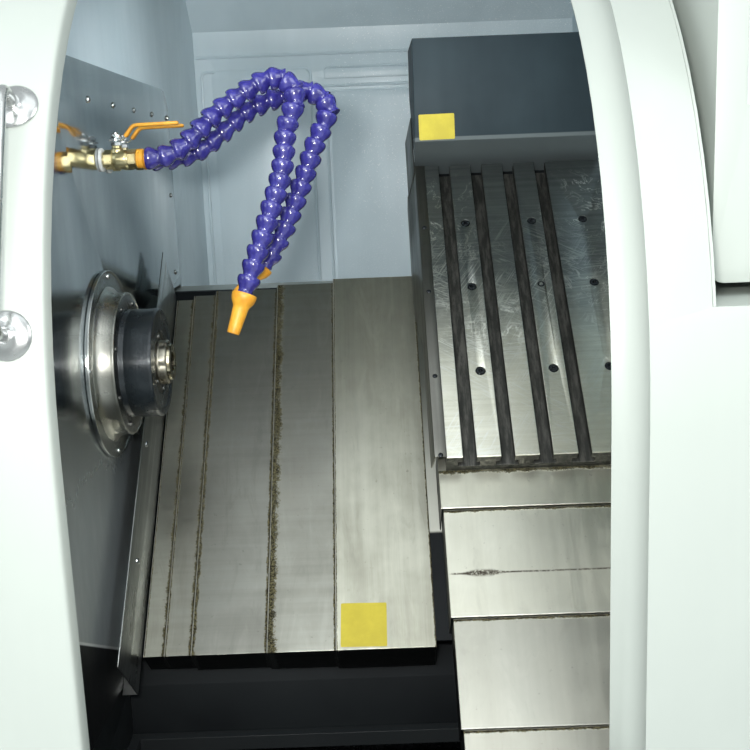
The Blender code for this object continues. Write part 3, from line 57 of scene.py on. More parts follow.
node_slot = {row["node"]: row["material_slot"] for row in frame["record"]["subparts"]}


def added(name, data):
    """A new object in the scene that holds the given data."""
    made = bpy.data.objects.new(name, data)
    bpy.context.scene.collection.objects.link(made)
    return made


def baked(name, holder):
    """The mesh that an object's modifiers make of it; the object itself is removed."""
    result = bpy.data.meshes.new_from_object(holder.evaluated_get(bpy.context.evaluated_depsgraph_get()))
    result.name = name
    bpy.data.objects.remove(holder)
    return result

# %% [markdown]
# ## The photograph's camera
#
# The T-slots of the tool plate have a standard pitch, so their spacing in the photograph gives the lens and
# the distance. The camera looks down into the cabin by a little over eleven degrees and is rolled by two,
# which is why the long edges of the machine climb towards the right.

# %% Place the camera
PHOTO_WIDTH, FOCAL_PIXELS, SENSOR = 750, 1048, 36.0
CAMERA_PLACE = (0.1, -1.72, 1.288)
pitch = math.radians(11.3)
yaw = math.radians(0.27)
roll = math.radians(2.2)
looking = Vector((-math.sin(yaw) * math.cos(pitch), math.cos(yaw) * math.cos(pitch), -math.sin(pitch)))
level_right = Vector((math.cos(yaw), math.sin(yaw), 0))
level_up = level_right.cross(looking)
camera_right = level_right * math.cos(roll) - level_up * math.sin(roll)
camera_up = level_right * math.sin(roll) + level_up * math.cos(roll)
camera = added("photo_camera", bpy.data.cameras.new("photo_camera"))
camera.data.sensor_width = SENSOR
camera.data.lens = FOCAL_PIXELS / PHOTO_WIDTH * SENSOR
camera.data.clip_start = 0.02
turned_camera = Matrix((camera_right, camera_up, -looking)).transposed().to_4x4()
camera.matrix_world = Matrix.Translation(CAMERA_PLACE) @ turned_camera
bpy.context.scene.camera = camera
print("lens", round(camera.data.lens, 2), "mm")

# %% [markdown]
# ## Light and floor
#
# A workshop has large soft lamps overhead, and the camera's own light filled the cabin, which is a box with
# one opening. Four wide area lamps and a pale sky stand for the room. A small lamp beside the camera draws
# the hoses' shadows on the back wall and the thin streak along the spindle. One more wide lamp under the
# roof only lifts the paint: steel doesn't mirror it, because a real cabin has no such bright panel.

# %% Soft studio light
def area_lamp(name, place, target, size, power, colour=(1.0, 1.0, 1.0), depth=None, mirrored=True):
    """A soft rectangular lamp at a place, turned to look at a target."""
    lamp = bpy.data.lights.new(name, "AREA")
    lamp.shape = "RECTANGLE"
    lamp.size = size
    lamp.size_y = depth or size
    lamp.energy = power
    lamp.color = colour
    holder = added(name, lamp)
    facing = (Vector(target) - Vector(place)).to_track_quat("-Z", "Y").to_matrix().to_4x4()
    holder.matrix_world = Matrix.Translation(place) @ facing
    holder.visible_glossy = mirrored


cool = (0.93, 0.98, 1.0)
LAMP_OFFSET = 0.075
area_lamp("front_lamp", (-0.55, -2.9, 2.6), (0.05, -0.3, 1.1), 1.5, 40, cool)
area_lamp("right_lamp", (2.8, -2.0, 2.4), (0.2, -0.2, 0.9), 1.8, 32, cool)
area_lamp("rear_lamp", (-2.2, 2.8, 2.8), (0, 0, 0.9), 2.2, 110, cool)
area_lamp("ceiling_lamp", (0.2, -1.6, 3.1), (0.2, -1.55, 0), 2.4, 9, cool, 1.3)
area_lamp("cabin_lamp", (0.13, -0.26, 1.585), (0.1, 0.1, 0.95), 0.42, 1.4, cool, 0.1, False)
beside_camera = camera.location - camera_right * LAMP_OFFSET + camera_up * LAMP_OFFSET
area_lamp("camera_lamp", beside_camera, (0.03, 0.0, 1.1), 0.14, 12.0, (1.0, 0.99, 0.96), 0.05)
world = bpy.data.worlds.new("pale_room")
bpy.context.scene.world = world
world.use_nodes = True
world.node_tree.nodes["Background"].inputs["Color"].default_value = (0.8, 0.86, 0.88, 1)
world.node_tree.nodes["Background"].inputs["Strength"].default_value = 0.88
bpy.context.scene.view_settings.view_transform = "Standard"

# %% [markdown]
# ## A small language for finishes
#
# A finish is a web of shader nodes, which is hard to read as a list of links. The class below wraps one
# number socket, so that ordinary Python arithmetic adds the Math nodes. Colours and vectors keep to their
# own nodes, because a Math node would turn a colour grey.

# %% Numbers that are sockets
class Number:
    """A number that changes over a surface; an operator on it adds a Math node to its finish."""

    def __init__(self, finish, socket):
        self.finish = finish
        self.socket = socket

    def maths(self, operation, *values):
        made = self.finish.node("ShaderNodeMath", {"operation": operation}, dict(enumerate(values)))
        return Number(self.finish, made.outputs[0])

    def __add__(self, other):
        return self.maths("ADD", self, other)

    __radd__ = __add__

    def __sub__(self, other):
        return self.maths("SUBTRACT", self, other)

    def __rsub__(self, other):
        return self.maths("SUBTRACT", other, self)

    def __mul__(self, other):
        return self.maths("MULTIPLY", self, other)

    __rmul__ = __mul__

    def __truediv__(self, other):
        return self.maths("DIVIDE", self, other)

    def __pow__(self, other):
        return self.maths("POWER", self, other)

    def __abs__(self):
        return self.maths("ABSOLUTE", self)

    def least(self, other):
        return self.maths("MINIMUM", self, other)

    def most(self, other):
        return self.maths("MAXIMUM", self, other)

    def ease(self, low, high, start=0.0, end=1.0):
        """Goes from start to end as the number goes from low to high, with soft ends."""
        inputs = {"Value": self, "From Min": low, "From Max": high, "To Min": start, "To Max": end}
        made = self.finish.node("ShaderNodeMapRange", {"interpolation_type": "SMOOTHSTEP"}, inputs)
        return Number(self.finish, made.outputs["Result"])


# %% A finish and the nodes it is made of
class Finish:
    """A material whose colour, roughness and bump are written as expressions."""

    def __init__(self, name, metallic=0.0, roughness=0.5, **constants):
        self.material = bpy.data.materials.new(name)
        self.material.use_nodes = True
        self.tree = self.material.node_tree
        self.shader = self.tree.nodes["Principled BSDF"]
        self.shader.inputs["Metallic"].default_value = metallic
        self.shader.inputs["Roughness"].default_value = roughness
        for socket, value in constants.items():
            self.shader.inputs[socket.replace("_", " ").title()].default_value = value
        self.place = self.node("ShaderNodeTexCoord").outputs["Object"]
        self.material.diffuse_color = (0.6, 0.6, 0.6, 1)

    def node(self, kind, settings=None, inputs=None):
        made = self.tree.nodes.new(kind)
        for name, value in (settings or {}).items():
            setattr(made, name, value)
        for name, value in (inputs or {}).items():
            self.feed(made.inputs[name], value)
        return made

    def feed(self, socket, value):
        if isinstance(value, Number):
            value = value.socket
        if isinstance(value, bpy.types.NodeSocket):
            self.tree.links.new(value, socket)
        elif isinstance(value, tuple) and socket.type == "RGBA" and len(value) == 3:
            socket.default_value = (*value, 1.0)
        else:
            socket.default_value = value

    def mapped(self, scale=(1, 1, 1), turn=(0, 0, 0), centre=(0, 0, 0)):
        """Object coordinates measured from a centre, along turned axes, and multiplied by a scale."""
        inputs = {"Vector": self.place, "Location": centre, "Rotation": [math.radians(a) for a in turn],
                  "Scale": [1 / s for s in scale]}
        return self.node("ShaderNodeMapping", {"vector_type": "TEXTURE"}, inputs).outputs["Vector"]

    def axes(self, vector):
        made = self.node("ShaderNodeSeparateXYZ", inputs={"Vector": vector})
        return [Number(self, made.outputs[axis]) for axis in "XYZ"]

    def noise(self, vector, scale, detail=3.0, rough=0.55, distortion=0.0):
        inputs = {"Vector": vector, "Scale": scale, "Detail": detail, "Roughness": rough, "Distortion": distortion}
        return Number(self, self.node("ShaderNodeTexNoise", inputs=inputs).outputs["Fac"])

    def blend(self, amount, first, second):
        made = self.node("ShaderNodeMix", {"data_type": "RGBA"})
        self.feed(made.inputs[0], amount)
        self.feed(made.inputs[6], first)
        self.feed(made.inputs[7], second)
        return made.outputs[2]

    def colour(self, value):
        self.feed(self.shader.inputs["Base Color"], value)

    def roughness(self, value):
        self.feed(self.shader.inputs["Roughness"], value)

    def bump(self, height, strength, depth=0.001):
        made = self.node("ShaderNodeBump", inputs={"Height": height, "Strength": strength, "Distance": depth})
        self.feed(self.shader.inputs["Normal"], made.outputs["Normal"])


SLOPE_DEG = 45.0
SLOPE_Y, SLOPE_Z = -0.407, 0.9125
SLOPE = Matrix.Translation((0, SLOPE_Y, SLOPE_Z)) @ Matrix.Rotation(math.radians(SLOPE_DEG), 4, "X")
on_the_slope = {"turn": (SLOPE_DEG, 0, 0), "centre": (0, SLOPE_Y, SLOPE_Z)}


def on_slope(x, t, h):
    """World place of a point given across the slope, up the slope and into the bed."""
    return SLOPE @ Vector((x, t, -h))


# %% [markdown]
# ## Paints
#
# The covers are powder coated: a thick skin that flows a little before it sets, so it has a fine orange peel
# and a soft, even gloss. The cabin is painted a pale blue grey and has been fogged by coolant mist, which
# dries to a faint bloom with small bright specks. Castings get a duller, thicker paint.
# Low in the cabin and on the castings inside the base the paint is covered with near-black painted shade;
# the hood's downward lip is painted lighter, as painted light, and dried droplets on the back wall get painted glints.

# %% Powder coat, cabin paint, hood paint and casting paint
def painted(name, light, dark, roughness, peel=0.05, cloud=2.2, specks=0.0, shine=0.5, painted_lighting_where=None,
            dirt_and_painted_light=(0.008, 0.01, 0.011), droplet_glints_where=None):
    """Sprayed paint: slow cloudy variation in colour and gloss, and a fine peel in its skin.

    The first where-function gives, from the three coordinates, how far one flat colour covers the paint: painted
    shade if it is darker, painted light if lighter. The second gives where dried droplets get painted glints.
    """
    paint = Finish(name, roughness=roughness)
    paint.shader.inputs["Specular IOR Level"].default_value = shine
    clouds = paint.noise(paint.place, cloud, 4.0, 0.6)
    drift = paint.noise(paint.mapped((9, 9, 1.6)), 1.0, 4.0, 0.6)
    soiled = (clouds * 0.6 + drift * 0.4).ease(0.35, 0.68)
    shade = paint.blend(soiled, dark, light)
    if specks:
        mist = paint.noise(paint.place, 620.0, 1.0) * paint.noise(paint.place, 4.0, 2.0).ease(0.42, 0.62)
        shade = paint.blend(mist.ease(0.6, 0.72) * specks, shade, (0.8, 0.87, 0.9))
    # One flat colour over part of the paint, standing for how light falls there: painted shade when dark, painted
    # light when light.
    if painted_lighting_where:
        shade = paint.blend(painted_lighting_where(*paint.axes(paint.place)), shade, dirt_and_painted_light)
    # Dried droplets, painted as bright glints.
    if droplet_glints_where:
        droplet_glints = paint.noise(paint.place, 330.0, 2.0, 0.6).ease(0.63, 0.7)
        shade = paint.blend(droplet_glints * 0.7 * droplet_glints_where(*paint.axes(paint.place)), shade, (0.92, 0.96, 0.98))
    paint.colour(shade)
    paint.roughness(roughness + 0.14 * (1 - soiled))
    skin = paint.noise(paint.place, 850.0, 1.0)
    paint.bump(skin, peel, 0.0006)
    return paint.material


powder_white = painted("powder_coat_white", (0.455, 0.492, 0.452), (0.42, 0.455, 0.42), 0.34, 0.04)
# Below about 0.68 m the cabin paint is covered with near-black painted shade of the chute.
# On the right of the back wall, dried droplets are painted as bright glints.
cabin_grey = painted("cabin_paint", (0.64, 0.755, 0.81), (0.52, 0.63, 0.68), 0.28, 0.05, 2.6, 0.5, shine=0.4,
                     painted_lighting_where=lambda x, y, z: 1 - z.ease(0.66, 0.7),
                     droplet_glints_where=lambda x, y, z: x.ease(0.0, 0.06) * y.ease(0.4, 0.44) * z.ease(1.05, 1.3))
# The hood's lip below 1.327 m is painted a lighter grey: painted light for the light it catches from below.
hood_blue = painted("hood_paint", (0.026, 0.042, 0.05), (0.014, 0.024, 0.03), 0.38, 0.05, 4.0, 0.0, 0.15,
                    lambda x, y, z: 1 - z.ease(1.3262, 1.328), (0.105, 0.125, 0.128))
# Inside the machine's outline, above 0.1 m, the casting paint is covered with near-black painted shade.
casting_grey = painted("casting_paint", (0.16, 0.19, 0.205), (0.09, 0.11, 0.12), 0.55, 0.35, 3.0, shine=0.3,
                       painted_lighting_where=lambda x, y, z: (0.86 - abs(x)).ease(0, 0.01) * (0.7 - abs(y)).ease(0, 0.01)
                       * (z - 0.1).ease(0, 0.02))
# A near-black casting paint: painted shade for castings that sit in the dark chute.
casting_painted_shade = painted("casting_painted_shade", (0.008, 0.01, 0.011), (0.003, 0.004, 0.005), 0.62, 0.5, 3.0, shine=0.15)

# %% [markdown]
# ## Bare steel
#
# Brushed sheet shows long hair lines in one direction. They are made by stretching a noise: very fine across
# the brush and very long along it. Ground plates have shorter lines, and the polished bulkhead is close to a
# mirror with a thin film of dried coolant that takes the edge off its reflection.

# %% Brushed, ground and polished steel
def brushed(name, light, dark, roughness, grain=(3, 900, 900), marks=0.35, film=0.25, turn=None, bump=0.08):
    """Steel with hair lines: grain is small along the brush and large across it."""
    steel = Finish(name, metallic=1.0, roughness=roughness)
    turn = turn or on_the_slope
    hair = steel.noise(steel.mapped(grain, **turn), 1.0, 3.0, 0.7)
    broad = steel.noise(steel.mapped([min(g, 90) for g in grain], **turn), 1.0, 2.0)
    cloud = steel.noise(steel.place, 5.0, 5.0, 0.62)
    wear = (cloud * 0.62 + broad * 0.38).ease(0.34, 0.68)
    steel.colour(steel.blend(wear * (1 - marks) + hair * marks, dark, light))
    steel.roughness(roughness + film * (1 - wear) + 0.1 * hair)
    steel.bump(hair, bump, 0.0004)
    return steel


ground_steel = brushed("ground_steel", (0.64, 0.64, 0.61), (0.4, 0.4, 0.38), 0.24).material
bulkhead_steel = brushed("bulkhead_mirror", (0.6, 0.64, 0.655), (0.5, 0.54, 0.55), 0.09, (700, 700, 5), 0.1, 0.14,
                         {}, 0.015).material
turned_steel = brushed("turned_steel", (0.7, 0.7, 0.67), (0.5, 0.5, 0.47), 0.14, (900, 3, 3), 0.2, 0.12,
                       {}).material


def plain_metal(name, light, dark, roughness, metallic=1.0, scale=40.0, bump=0.05, coat=0.0):
    """A metal or plastic without a direction: soft cloudy colour, worn gloss and a faint unevenness."""
    metal = Finish(name, metallic=metallic, roughness=roughness, coat_weight=coat, coat_roughness=0.12)
    cloud = metal.noise(metal.place, scale, 4.0, 0.6)
    metal.colour(metal.blend(cloud.ease(0.35, 0.65), dark, light))
    metal.roughness(roughness + 0.16 * metal.noise(metal.place, scale * 3.1, 3.0))
    metal.bump(metal.noise(metal.place, scale * 14, 2.0), bump, 0.0005)
    return metal.material


blackened = plain_metal("blackened_steel", (0.03, 0.034, 0.038), (0.012, 0.015, 0.018), 0.2, 0.6, 30, 0.04)
brass = plain_metal("machined_brass", (0.8, 0.71, 0.42), (0.62, 0.53, 0.28), 0.22, 1.0, 60, 0.05)
chrome = plain_metal("polished_chrome", (0.78, 0.8, 0.8), (0.62, 0.64, 0.64), 0.05, 1.0, 25, 0.01)
satin_chrome = plain_metal("satin_chrome", (0.66, 0.67, 0.66), (0.5, 0.51, 0.5), 0.17, 1.0, 25, 0.03)
hose_blue = plain_metal("moulded_blue", (0.044, 0.04, 0.275), (0.025, 0.021, 0.18), 0.16, 0.0, 90, 0.05, 1.0)
orange = plain_metal("moulded_orange", (0.84, 0.42, 0.04), (0.72, 0.31, 0.025), 0.34, 0.0, 70, 0.06)
rubber = plain_metal("black_rubber", (0.035, 0.036, 0.037), (0.02, 0.021, 0.022), 0.62, 0.0, 60, 0.2)
red = plain_metal("moulded_red", (0.62, 0.035, 0.025), (0.48, 0.022, 0.018), 0.3, 0.0, 60, 0.05, 0.3)
green = plain_metal("moulded_green", (0.035, 0.36, 0.09), (0.02, 0.25, 0.06), 0.3, 0.0, 60, 0.05, 0.3)
cover_steel = brushed("cover_steel", (0.5, 0.505, 0.475), (0.3, 0.305, 0.285), 0.26).material
window_glass = plain_metal("window_pane", (0.3, 0.36, 0.36), (0.26, 0.32, 0.32), 0.05, 0.0, 12, 0.01)

screen = Finish("framed_screen", roughness=0.1)
(low_x, _, low_z), (high_x, _, high_z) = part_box("control_screen")
x, y, z = screen.axes(screen.place)
inside = (x - low_x).least(high_x - x).least(z - low_z).least(high_z - z).ease(0.0125, 0.0135)
dust = screen.noise(screen.place, 45.0, 4.0, 0.6)
dark_glass = screen.blend(dust, (0.012, 0.015, 0.018), (0.024, 0.028, 0.032))
screen.colour(screen.blend(inside, (0.5, 0.53, 0.51), dark_glass))
screen.roughness(0.4 - 0.32 * inside + 0.1 * dust)
screen_glass = screen.material

slot_finish = {
    "white_paint": powder_white, "pale_blue_paint": cabin_grey, "hood_paint": hood_blue, "stainless": bulkhead_steel,
    "cover_steel": cover_steel, "ground_steel": ground_steel, "black_steel": blackened, "casting_paint": casting_grey,
    "brass": brass, "orange_plastic": orange, "blue_plastic": hose_blue, "chrome": chrome,
    "window_glass": window_glass, "black_rubber": rubber, "red_plastic": red, "green_plastic": green,
    "screen_glass": screen_glass}
for name, node in frame["nodes"].items():
    node.data.materials.clear()
    node.data.materials.append(slot_finish[node_slot[name]])
print("finishes on", len(frame["nodes"]), "nodes")

# %% [markdown]
# ## Turning shapes into pieces
#
# A finished piece keeps its place in its mesh and its object at the origin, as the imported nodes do, so that
# patterns measured from the world stay where they are. One function does what every piece needs: it names
# it, gives it its finish, smooths only its shallow edges, and fixes it to the body that carries it.

# %% One piece on its body
def piece(name, mesh, finish, body, stands_for=(), sharp=32):
    """A finished piece of the machine, riding on a body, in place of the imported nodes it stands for."""
    made = added(name, mesh)
    mesh.materials.clear()
    mesh.materials.append(finish)
    mesh.shade_smooth()
    mesh.set_sharp_from_angle(angle=math.radians(sharp))
    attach(made, body)
    if stands_for:
        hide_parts(*stands_for)


def mesh_from(name, shape, outward=True):
    """Turns a finished bmesh into a mesh, with its faces pointing out."""
    if outward:
        bmesh.ops.remove_doubles(shape, verts=shape.verts, dist=1e-6)
        bmesh.ops.recalc_face_normals(shape, faces=shape.faces)
    mesh = bpy.data.meshes.new(name)
    shape.to_mesh(mesh)
    shape.free()
    return mesh


def with_modifiers(name, mesh, *recipes):
    """The mesh after a stack of modifiers, each given as its type and its settings."""
    holder = added(name, mesh)
    for kind, settings in recipes:
        modifier = holder.modifiers.new(kind.title(), kind)
        for key, value in settings.items():
            setattr(modifier, key, value)
    return baked(name, holder)


# %% [markdown]
# Round parts are made as a turner makes them: a profile of radius against length, carried round an axis.
# Ninety-six steps keep the rim of a disc smooth in a close view.

# %% A turner's profile carried round an axis
ALONG_X = Matrix(((0, 0, 1, 0), (1, 0, 0, 0), (0, 1, 0, 0), (0, 0, 0, 1)))


def axis_at(y, z, x=0.0):
    """A frame whose own Z axis runs along the machine."""
    return Matrix.Translation((x, y, z)) @ ALONG_X


def facing(place, direction):
    """A frame at a place whose own Z axis points in a direction."""
    return Matrix.Translation(place) @ Vector(direction).to_track_quat("Z", "Y").to_matrix().to_4x4()


def bend(corner, first, last, reach, steps):
    """Points of a bend that replaces a corner, from its reach along one direction to its reach along another."""
    a, b = corner + first * reach, corner + last * reach
    shares = [k / steps for k in range(steps + 1)]
    return [a * (1 - u) ** 2 + corner * (2 * u * (1 - u)) + b * u ** 2 for u in shares]


def eased(profile, radius, steps=3):
    """Rounds the inner corners of an open profile; a corner with short sides gets a smaller round."""
    points = [Vector(p) for p in profile]
    smooth = [points[0]]
    for before, corner, after in zip(points, points[1:], points[2:]):
        reach = min(radius, (before - corner).length * 0.45, (after - corner).length * 0.45)
        smooth += bend(corner, (before - corner).normalized(), (after - corner).normalized(), reach, steps)
    return [tuple(p) for p in smooth + [points[-1]]]


def turned(name, profile, place, steps=96, closed=False, squash=None):
    """A closed shape from (radius, length) points; squash(angle) scales the radius, for hexagons and ears."""
    shape = bmesh.new()
    rings = []
    for radius, along in profile:
        if radius < 1e-7:
            rings.append([shape.verts.new(place @ Vector((0, 0, along)))])
            continue
        ring = []
        for k in range(steps):
            angle = 2 * math.pi * k / steps
            reach = radius * (squash(angle, along) if squash else 1.0)
            ring.append(shape.verts.new(place @ Vector((reach * math.cos(angle), reach * math.sin(angle), along))))
        rings.append(ring)
    pairs = list(zip(rings, rings[1:]))
    if closed:
        pairs.append((rings[-1], rings[0]))
    for first, second in pairs:
        for k in range(steps):
            corners = [first[k % len(first)], first[(k + 1) % len(first)],
                       second[(k + 1) % len(second)], second[k % len(second)]]
            kept = list(dict.fromkeys(corners))
            if len(kept) > 2:
                shape.faces.new(kept)
    return mesh_from(name, shape)


def six_sided(angle, along):
    """Scale that pulls a circle onto a hexagon with slightly rounded corners."""
    part = (angle + math.pi / 6) % (math.pi / 3) - math.pi / 6
    return min(1.0, 0.885 / math.cos(part))


def joined(name, meshes):
    """Several closed meshes as one."""
    shape = bmesh.new()
    for mesh in meshes:
        shape.from_mesh(mesh)
        bpy.data.meshes.remove(mesh)
    result = bpy.data.meshes.new(name)
    shape.to_mesh(result)
    shape.free()
    return result


def bar(name, points, radius, sides):
    """A round bar along points, with rounded ends."""
    points = [Vector(p) for p in points]
    shape = bmesh.new()
    rings = []
    across = None
    for k, point in enumerate(points):
        ahead = (points[min(k + 1, len(points) - 1)] - points[max(k - 1, 0)]).normalized()
        side = across if across is not None else ahead.orthogonal().normalized()
        side = (side - ahead * side.dot(ahead)).normalized()
        across = side
        up = ahead.cross(side)
        sizes = [(0.0, 1.0)]
        if k == 0:
            sizes = [(-0.8, 0.55), (-0.45, 0.86), (0.0, 1.0)]
        if k == len(points) - 1:
            sizes = [(0.0, 1.0), (0.45, 0.86), (0.8, 0.55)]
        for shift, size in sizes:
            centre = point + ahead * (shift * radius)
            rings.append([shape.verts.new(centre + side * (math.cos(2 * math.pi * i / sides) * radius * size)
                                          + up * (math.sin(2 * math.pi * i / sides) * radius * size))
                          for i in range(sides)])
    for first, second in zip(rings, rings[1:]):
        for i in range(sides):
            shape.faces.new([first[i], first[(i + 1) % sides], second[(i + 1) % sides], second[i]])
    shape.faces.new(rings[0])
    shape.faces.new(rings[-1])
    return mesh_from(name, shape)


def prism(name, outline, low, high, place):
    """A flat outline given depth along its frame's own Z axis."""
    shape = bmesh.new()
    bottom = [shape.verts.new(place @ Vector((a, b, low))) for a, b in outline]
    top = [shape.verts.new(place @ Vector((a, b, high))) for a, b in outline]
    shape.faces.new(bottom)
    shape.faces.new(top)
    for k in range(len(outline)):
        after = (k + 1) % len(outline)
        shape.faces.new([bottom[k], bottom[after], top[after], top[k]])
    return mesh_from(name, shape)


# %% [markdown]
# ## Sheet metal and castings with softened edges
#
# No edge of a real machine is perfectly sharp: sheet bends over a radius, castings are ground back and
# powder coat draws round a corner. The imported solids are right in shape, so each is copied, its triangles
# are merged back into flat faces, and a Bevel modifier rounds what is left. The thin highlight that runs
# along every edge comes from this.

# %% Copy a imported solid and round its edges
BEVEL_FROM_DEG = 25


def softened(node, radius, finish, sharp=30, flat_deg=0.6):
    """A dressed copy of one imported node, which it then stands for; no flat_deg keeps its triangles."""
    shape = bmesh.new()
    shape.from_mesh(frame["nodes"][node].data)
    bmesh.ops.remove_doubles(shape, verts=shape.verts, dist=2e-5)
    if flat_deg:
        bmesh.ops.dissolve_limit(shape, angle_limit=math.radians(flat_deg), verts=shape.verts, edges=shape.edges)
    mesh = mesh_from(node, shape, outward=False)
    bevel = {"width": radius, "segments": 2, "limit_method": "ANGLE", "angle_limit": math.radians(BEVEL_FROM_DEG),
             "use_clamp_overlap": True, "miter_outer": "MITER_ARC", "harden_normals": False}
    mesh = with_modifiers(node, mesh, ("BEVEL", bevel), ("TRIANGULATE", {"min_vertices": 5}))
    piece(node + "_skin", mesh, finish, node_body[node], (node,), sharp)


# %% [markdown]
# ## Parts that repeat
#
# Screw heads and hose links are each one shape set down many times. Geometry Nodes does that: a tree takes
# points, sets a copy of a small object on each and turns it to the point's own direction. The tree ends by
# making the copies real, because an exported model can't hold instances.

# %% A tree that sets copies on points
def new_tree(name, inputs):
    """An empty node tree with named inputs, and a maker of its nodes."""
    tree = bpy.data.node_groups.new(name, "GeometryNodeTree")
    tree.interface.new_socket("Geometry", in_out="INPUT", socket_type="NodeSocketGeometry")
    for label, kind in inputs:
        tree.interface.new_socket(label, in_out="INPUT", socket_type=kind)
    tree.interface.new_socket("Geometry", in_out="OUTPUT", socket_type="NodeSocketGeometry")

    def make(kind, settings=None, inputs=None):
        made = tree.nodes.new(kind)
        for key, value in (settings or {}).items():
            setattr(made, key, value)
        for key, value in (inputs or {}).items():
            if isinstance(value, bpy.types.NodeSocket):
                tree.links.new(value, made.inputs[key])
            else:
                made.inputs[key].default_value = value
        return made

    return tree, make


def grown(name, mesh, tree, values):
    """The mesh that a tree grows from a carrier mesh, with the tree's inputs set by name."""
    holder = added(name, mesh)
    modifier = holder.modifiers.new("Grow", "NODES")
    modifier.node_group = tree
    for item in tree.interface.items_tree:
        if item.in_out == "INPUT" and item.name in values:
            modifier[item.identifier] = values[item.name]
    return baked(name, holder)


def end_tree(make, start, points, model, rotation):
    """Sets the model on each point, makes the copies real and gives them the finish named at the start."""
    copies = make("GeometryNodeInstanceOnPoints", inputs={
        "Points": points.outputs["Points"], "Instance": model.outputs["Geometry"], "Rotation": rotation})
    real = make("GeometryNodeRealizeInstances", inputs={"Geometry": copies.outputs["Instances"]})
    coated = make("GeometryNodeSetMaterial", inputs={"Geometry": real.outputs["Geometry"],
                                                     "Material": start.outputs["Finish"]})
    make("NodeGroupOutput", inputs={"Geometry": coated.outputs["Geometry"]})


link_tree, make = new_tree("hose_links", [("Links", "NodeSocketInt"), ("Link", "NodeSocketObject"),
                                          ("Finish", "NodeSocketMaterial")])
start = make("NodeGroupInput")
curve = make("GeometryNodeMeshToCurve", inputs={"Mesh": start.outputs["Geometry"]})
places = make("GeometryNodeCurveToPoints", {"mode": "COUNT"},
              {"Curve": curve.outputs["Curve"], "Count": start.outputs["Links"]})
link = make("GeometryNodeObjectInfo", inputs={"Object": start.outputs["Link"]})
end_tree(make, start, places, link, places.outputs["Rotation"])

FULL_TURN = 6.28
screw_tree, make = new_tree("screw_heads", [("Screw", "NodeSocketObject"), ("Seed", "NodeSocketInt"),
                                            ("Finish", "NodeSocketMaterial")])
start = make("NodeGroupInput")
outward = make("GeometryNodeInputNamedAttribute", {"data_type": "FLOAT_VECTOR"}, {"Name": "facing"})
spin = make("FunctionNodeRandomValue", {"data_type": "FLOAT"}, {"Max": FULL_TURN, "Seed": start.outputs["Seed"]})
turn = make("FunctionNodeAxisAngleToRotation", inputs={"Axis": (0, 0, 1), "Angle": spin.outputs[1]})
aimed = make("FunctionNodeAlignRotationToVector", {"axis": "Z"}, {"Vector": outward.outputs["Attribute"]})
both = make("FunctionNodeRotateRotation", {"rotation_space": "LOCAL"},
            {"Rotation": aimed.outputs["Rotation"], "Rotate By": turn.outputs["Rotation"]})
head = make("GeometryNodeObjectInfo", inputs={"Object": start.outputs["Screw"]})
points = make("GeometryNodeMeshToPoints", inputs={"Mesh": start.outputs["Geometry"]})
end_tree(make, start, points, head, both.outputs["Rotation"])
print("trees:", link_tree.name, "and", screw_tree.name)


# %% Screw heads at given places
def dome_head(radius, height, socket=0.45):
    """A domed head with a socket sunk in its top, standing on its seat at zero."""
    well = radius * socket
    profile = [(0, height * 0.45), (well, height * 0.45), (well * 1.04, height * 0.96), (radius * 0.62, height * 0.9),
               (radius * 0.86, height * 0.66), (radius * 0.98, height * 0.28), (radius, 0), (0, 0)]
    return turned("dome_head", profile, Matrix.Identity(4), 18)


def cap_head(radius, height, socket=0.5):
    """A cylinder head with a chamfer and a hexagon socket."""
    well = radius * socket
    profile = [(0, height * 0.35), (well, height * 0.35), (well * 1.02, height), (radius * 0.88, height),
               (radius, height * 0.84), (radius, 0), (0, 0)]
    return turned("cap_head", profile, Matrix.Identity(4), 18)


def screws(name, places, head_mesh, finish, body, seed):
    """One piece holding a screw head at each (place, direction)."""
    carrier = bpy.data.meshes.new(name)
    carrier.from_pydata([tuple(place) for place, direction in places], [], [])
    facing_data = carrier.attributes.new("facing", "FLOAT_VECTOR", "POINT")
    for item, (place, direction) in zip(facing_data.data, places):
        item.vector = Vector(direction).normalized()
    model = added(name + "_head", head_mesh)
    mesh = grown(name, carrier, screw_tree, {"Screw": model, "Seed": seed, "Finish": finish})
    bpy.data.objects.remove(model)
    print(name, len(places), "heads,", len(mesh.polygons), "faces")
    piece(name, mesh, finish, body, sharp=40)


# %% [markdown]
# ## Coolant hoses
#
# Jointed coolant hose is a chain of identical moulded links: a wide cup that snaps over the ball of the link
# before it, a waist, and the next ball. A link is turned once and the tree sets it along the route at its
# own pitch. The chain keeps any bend by friction, so the route is the one that the photograph shows.

# %% Two chains of moulded links
def smooth_route(route, steps=8):
    """Smooth points through the route's own points."""
    points = [Vector(p) for p in route]
    points = [points[0] * 2 - points[1]] + points + [points[-1] * 2 - points[-2]]
    smooth = []
    for a, b, c, d in zip(points, points[1:], points[2:], points[3:]):
        for k in range(steps):
            u = k / steps
            smooth.append(0.5 * ((2 * b) + (c - a) * u + (2 * a - 5 * b + 4 * c - d) * u ** 2
                                 + (3 * b - a - 3 * c + d) * u ** 3))
    return smooth + [points[-2]]


def cut_short(points, spare):
    """The same line, ending a given distance before its end."""
    points = list(points)
    while (points[-1] - points[-2]).length < spare:
        spare -= (points[-1] - points[-2]).length
        points.pop()
    points[-1] = points[-1] + (points[-2] - points[-1]).normalized() * spare
    return points


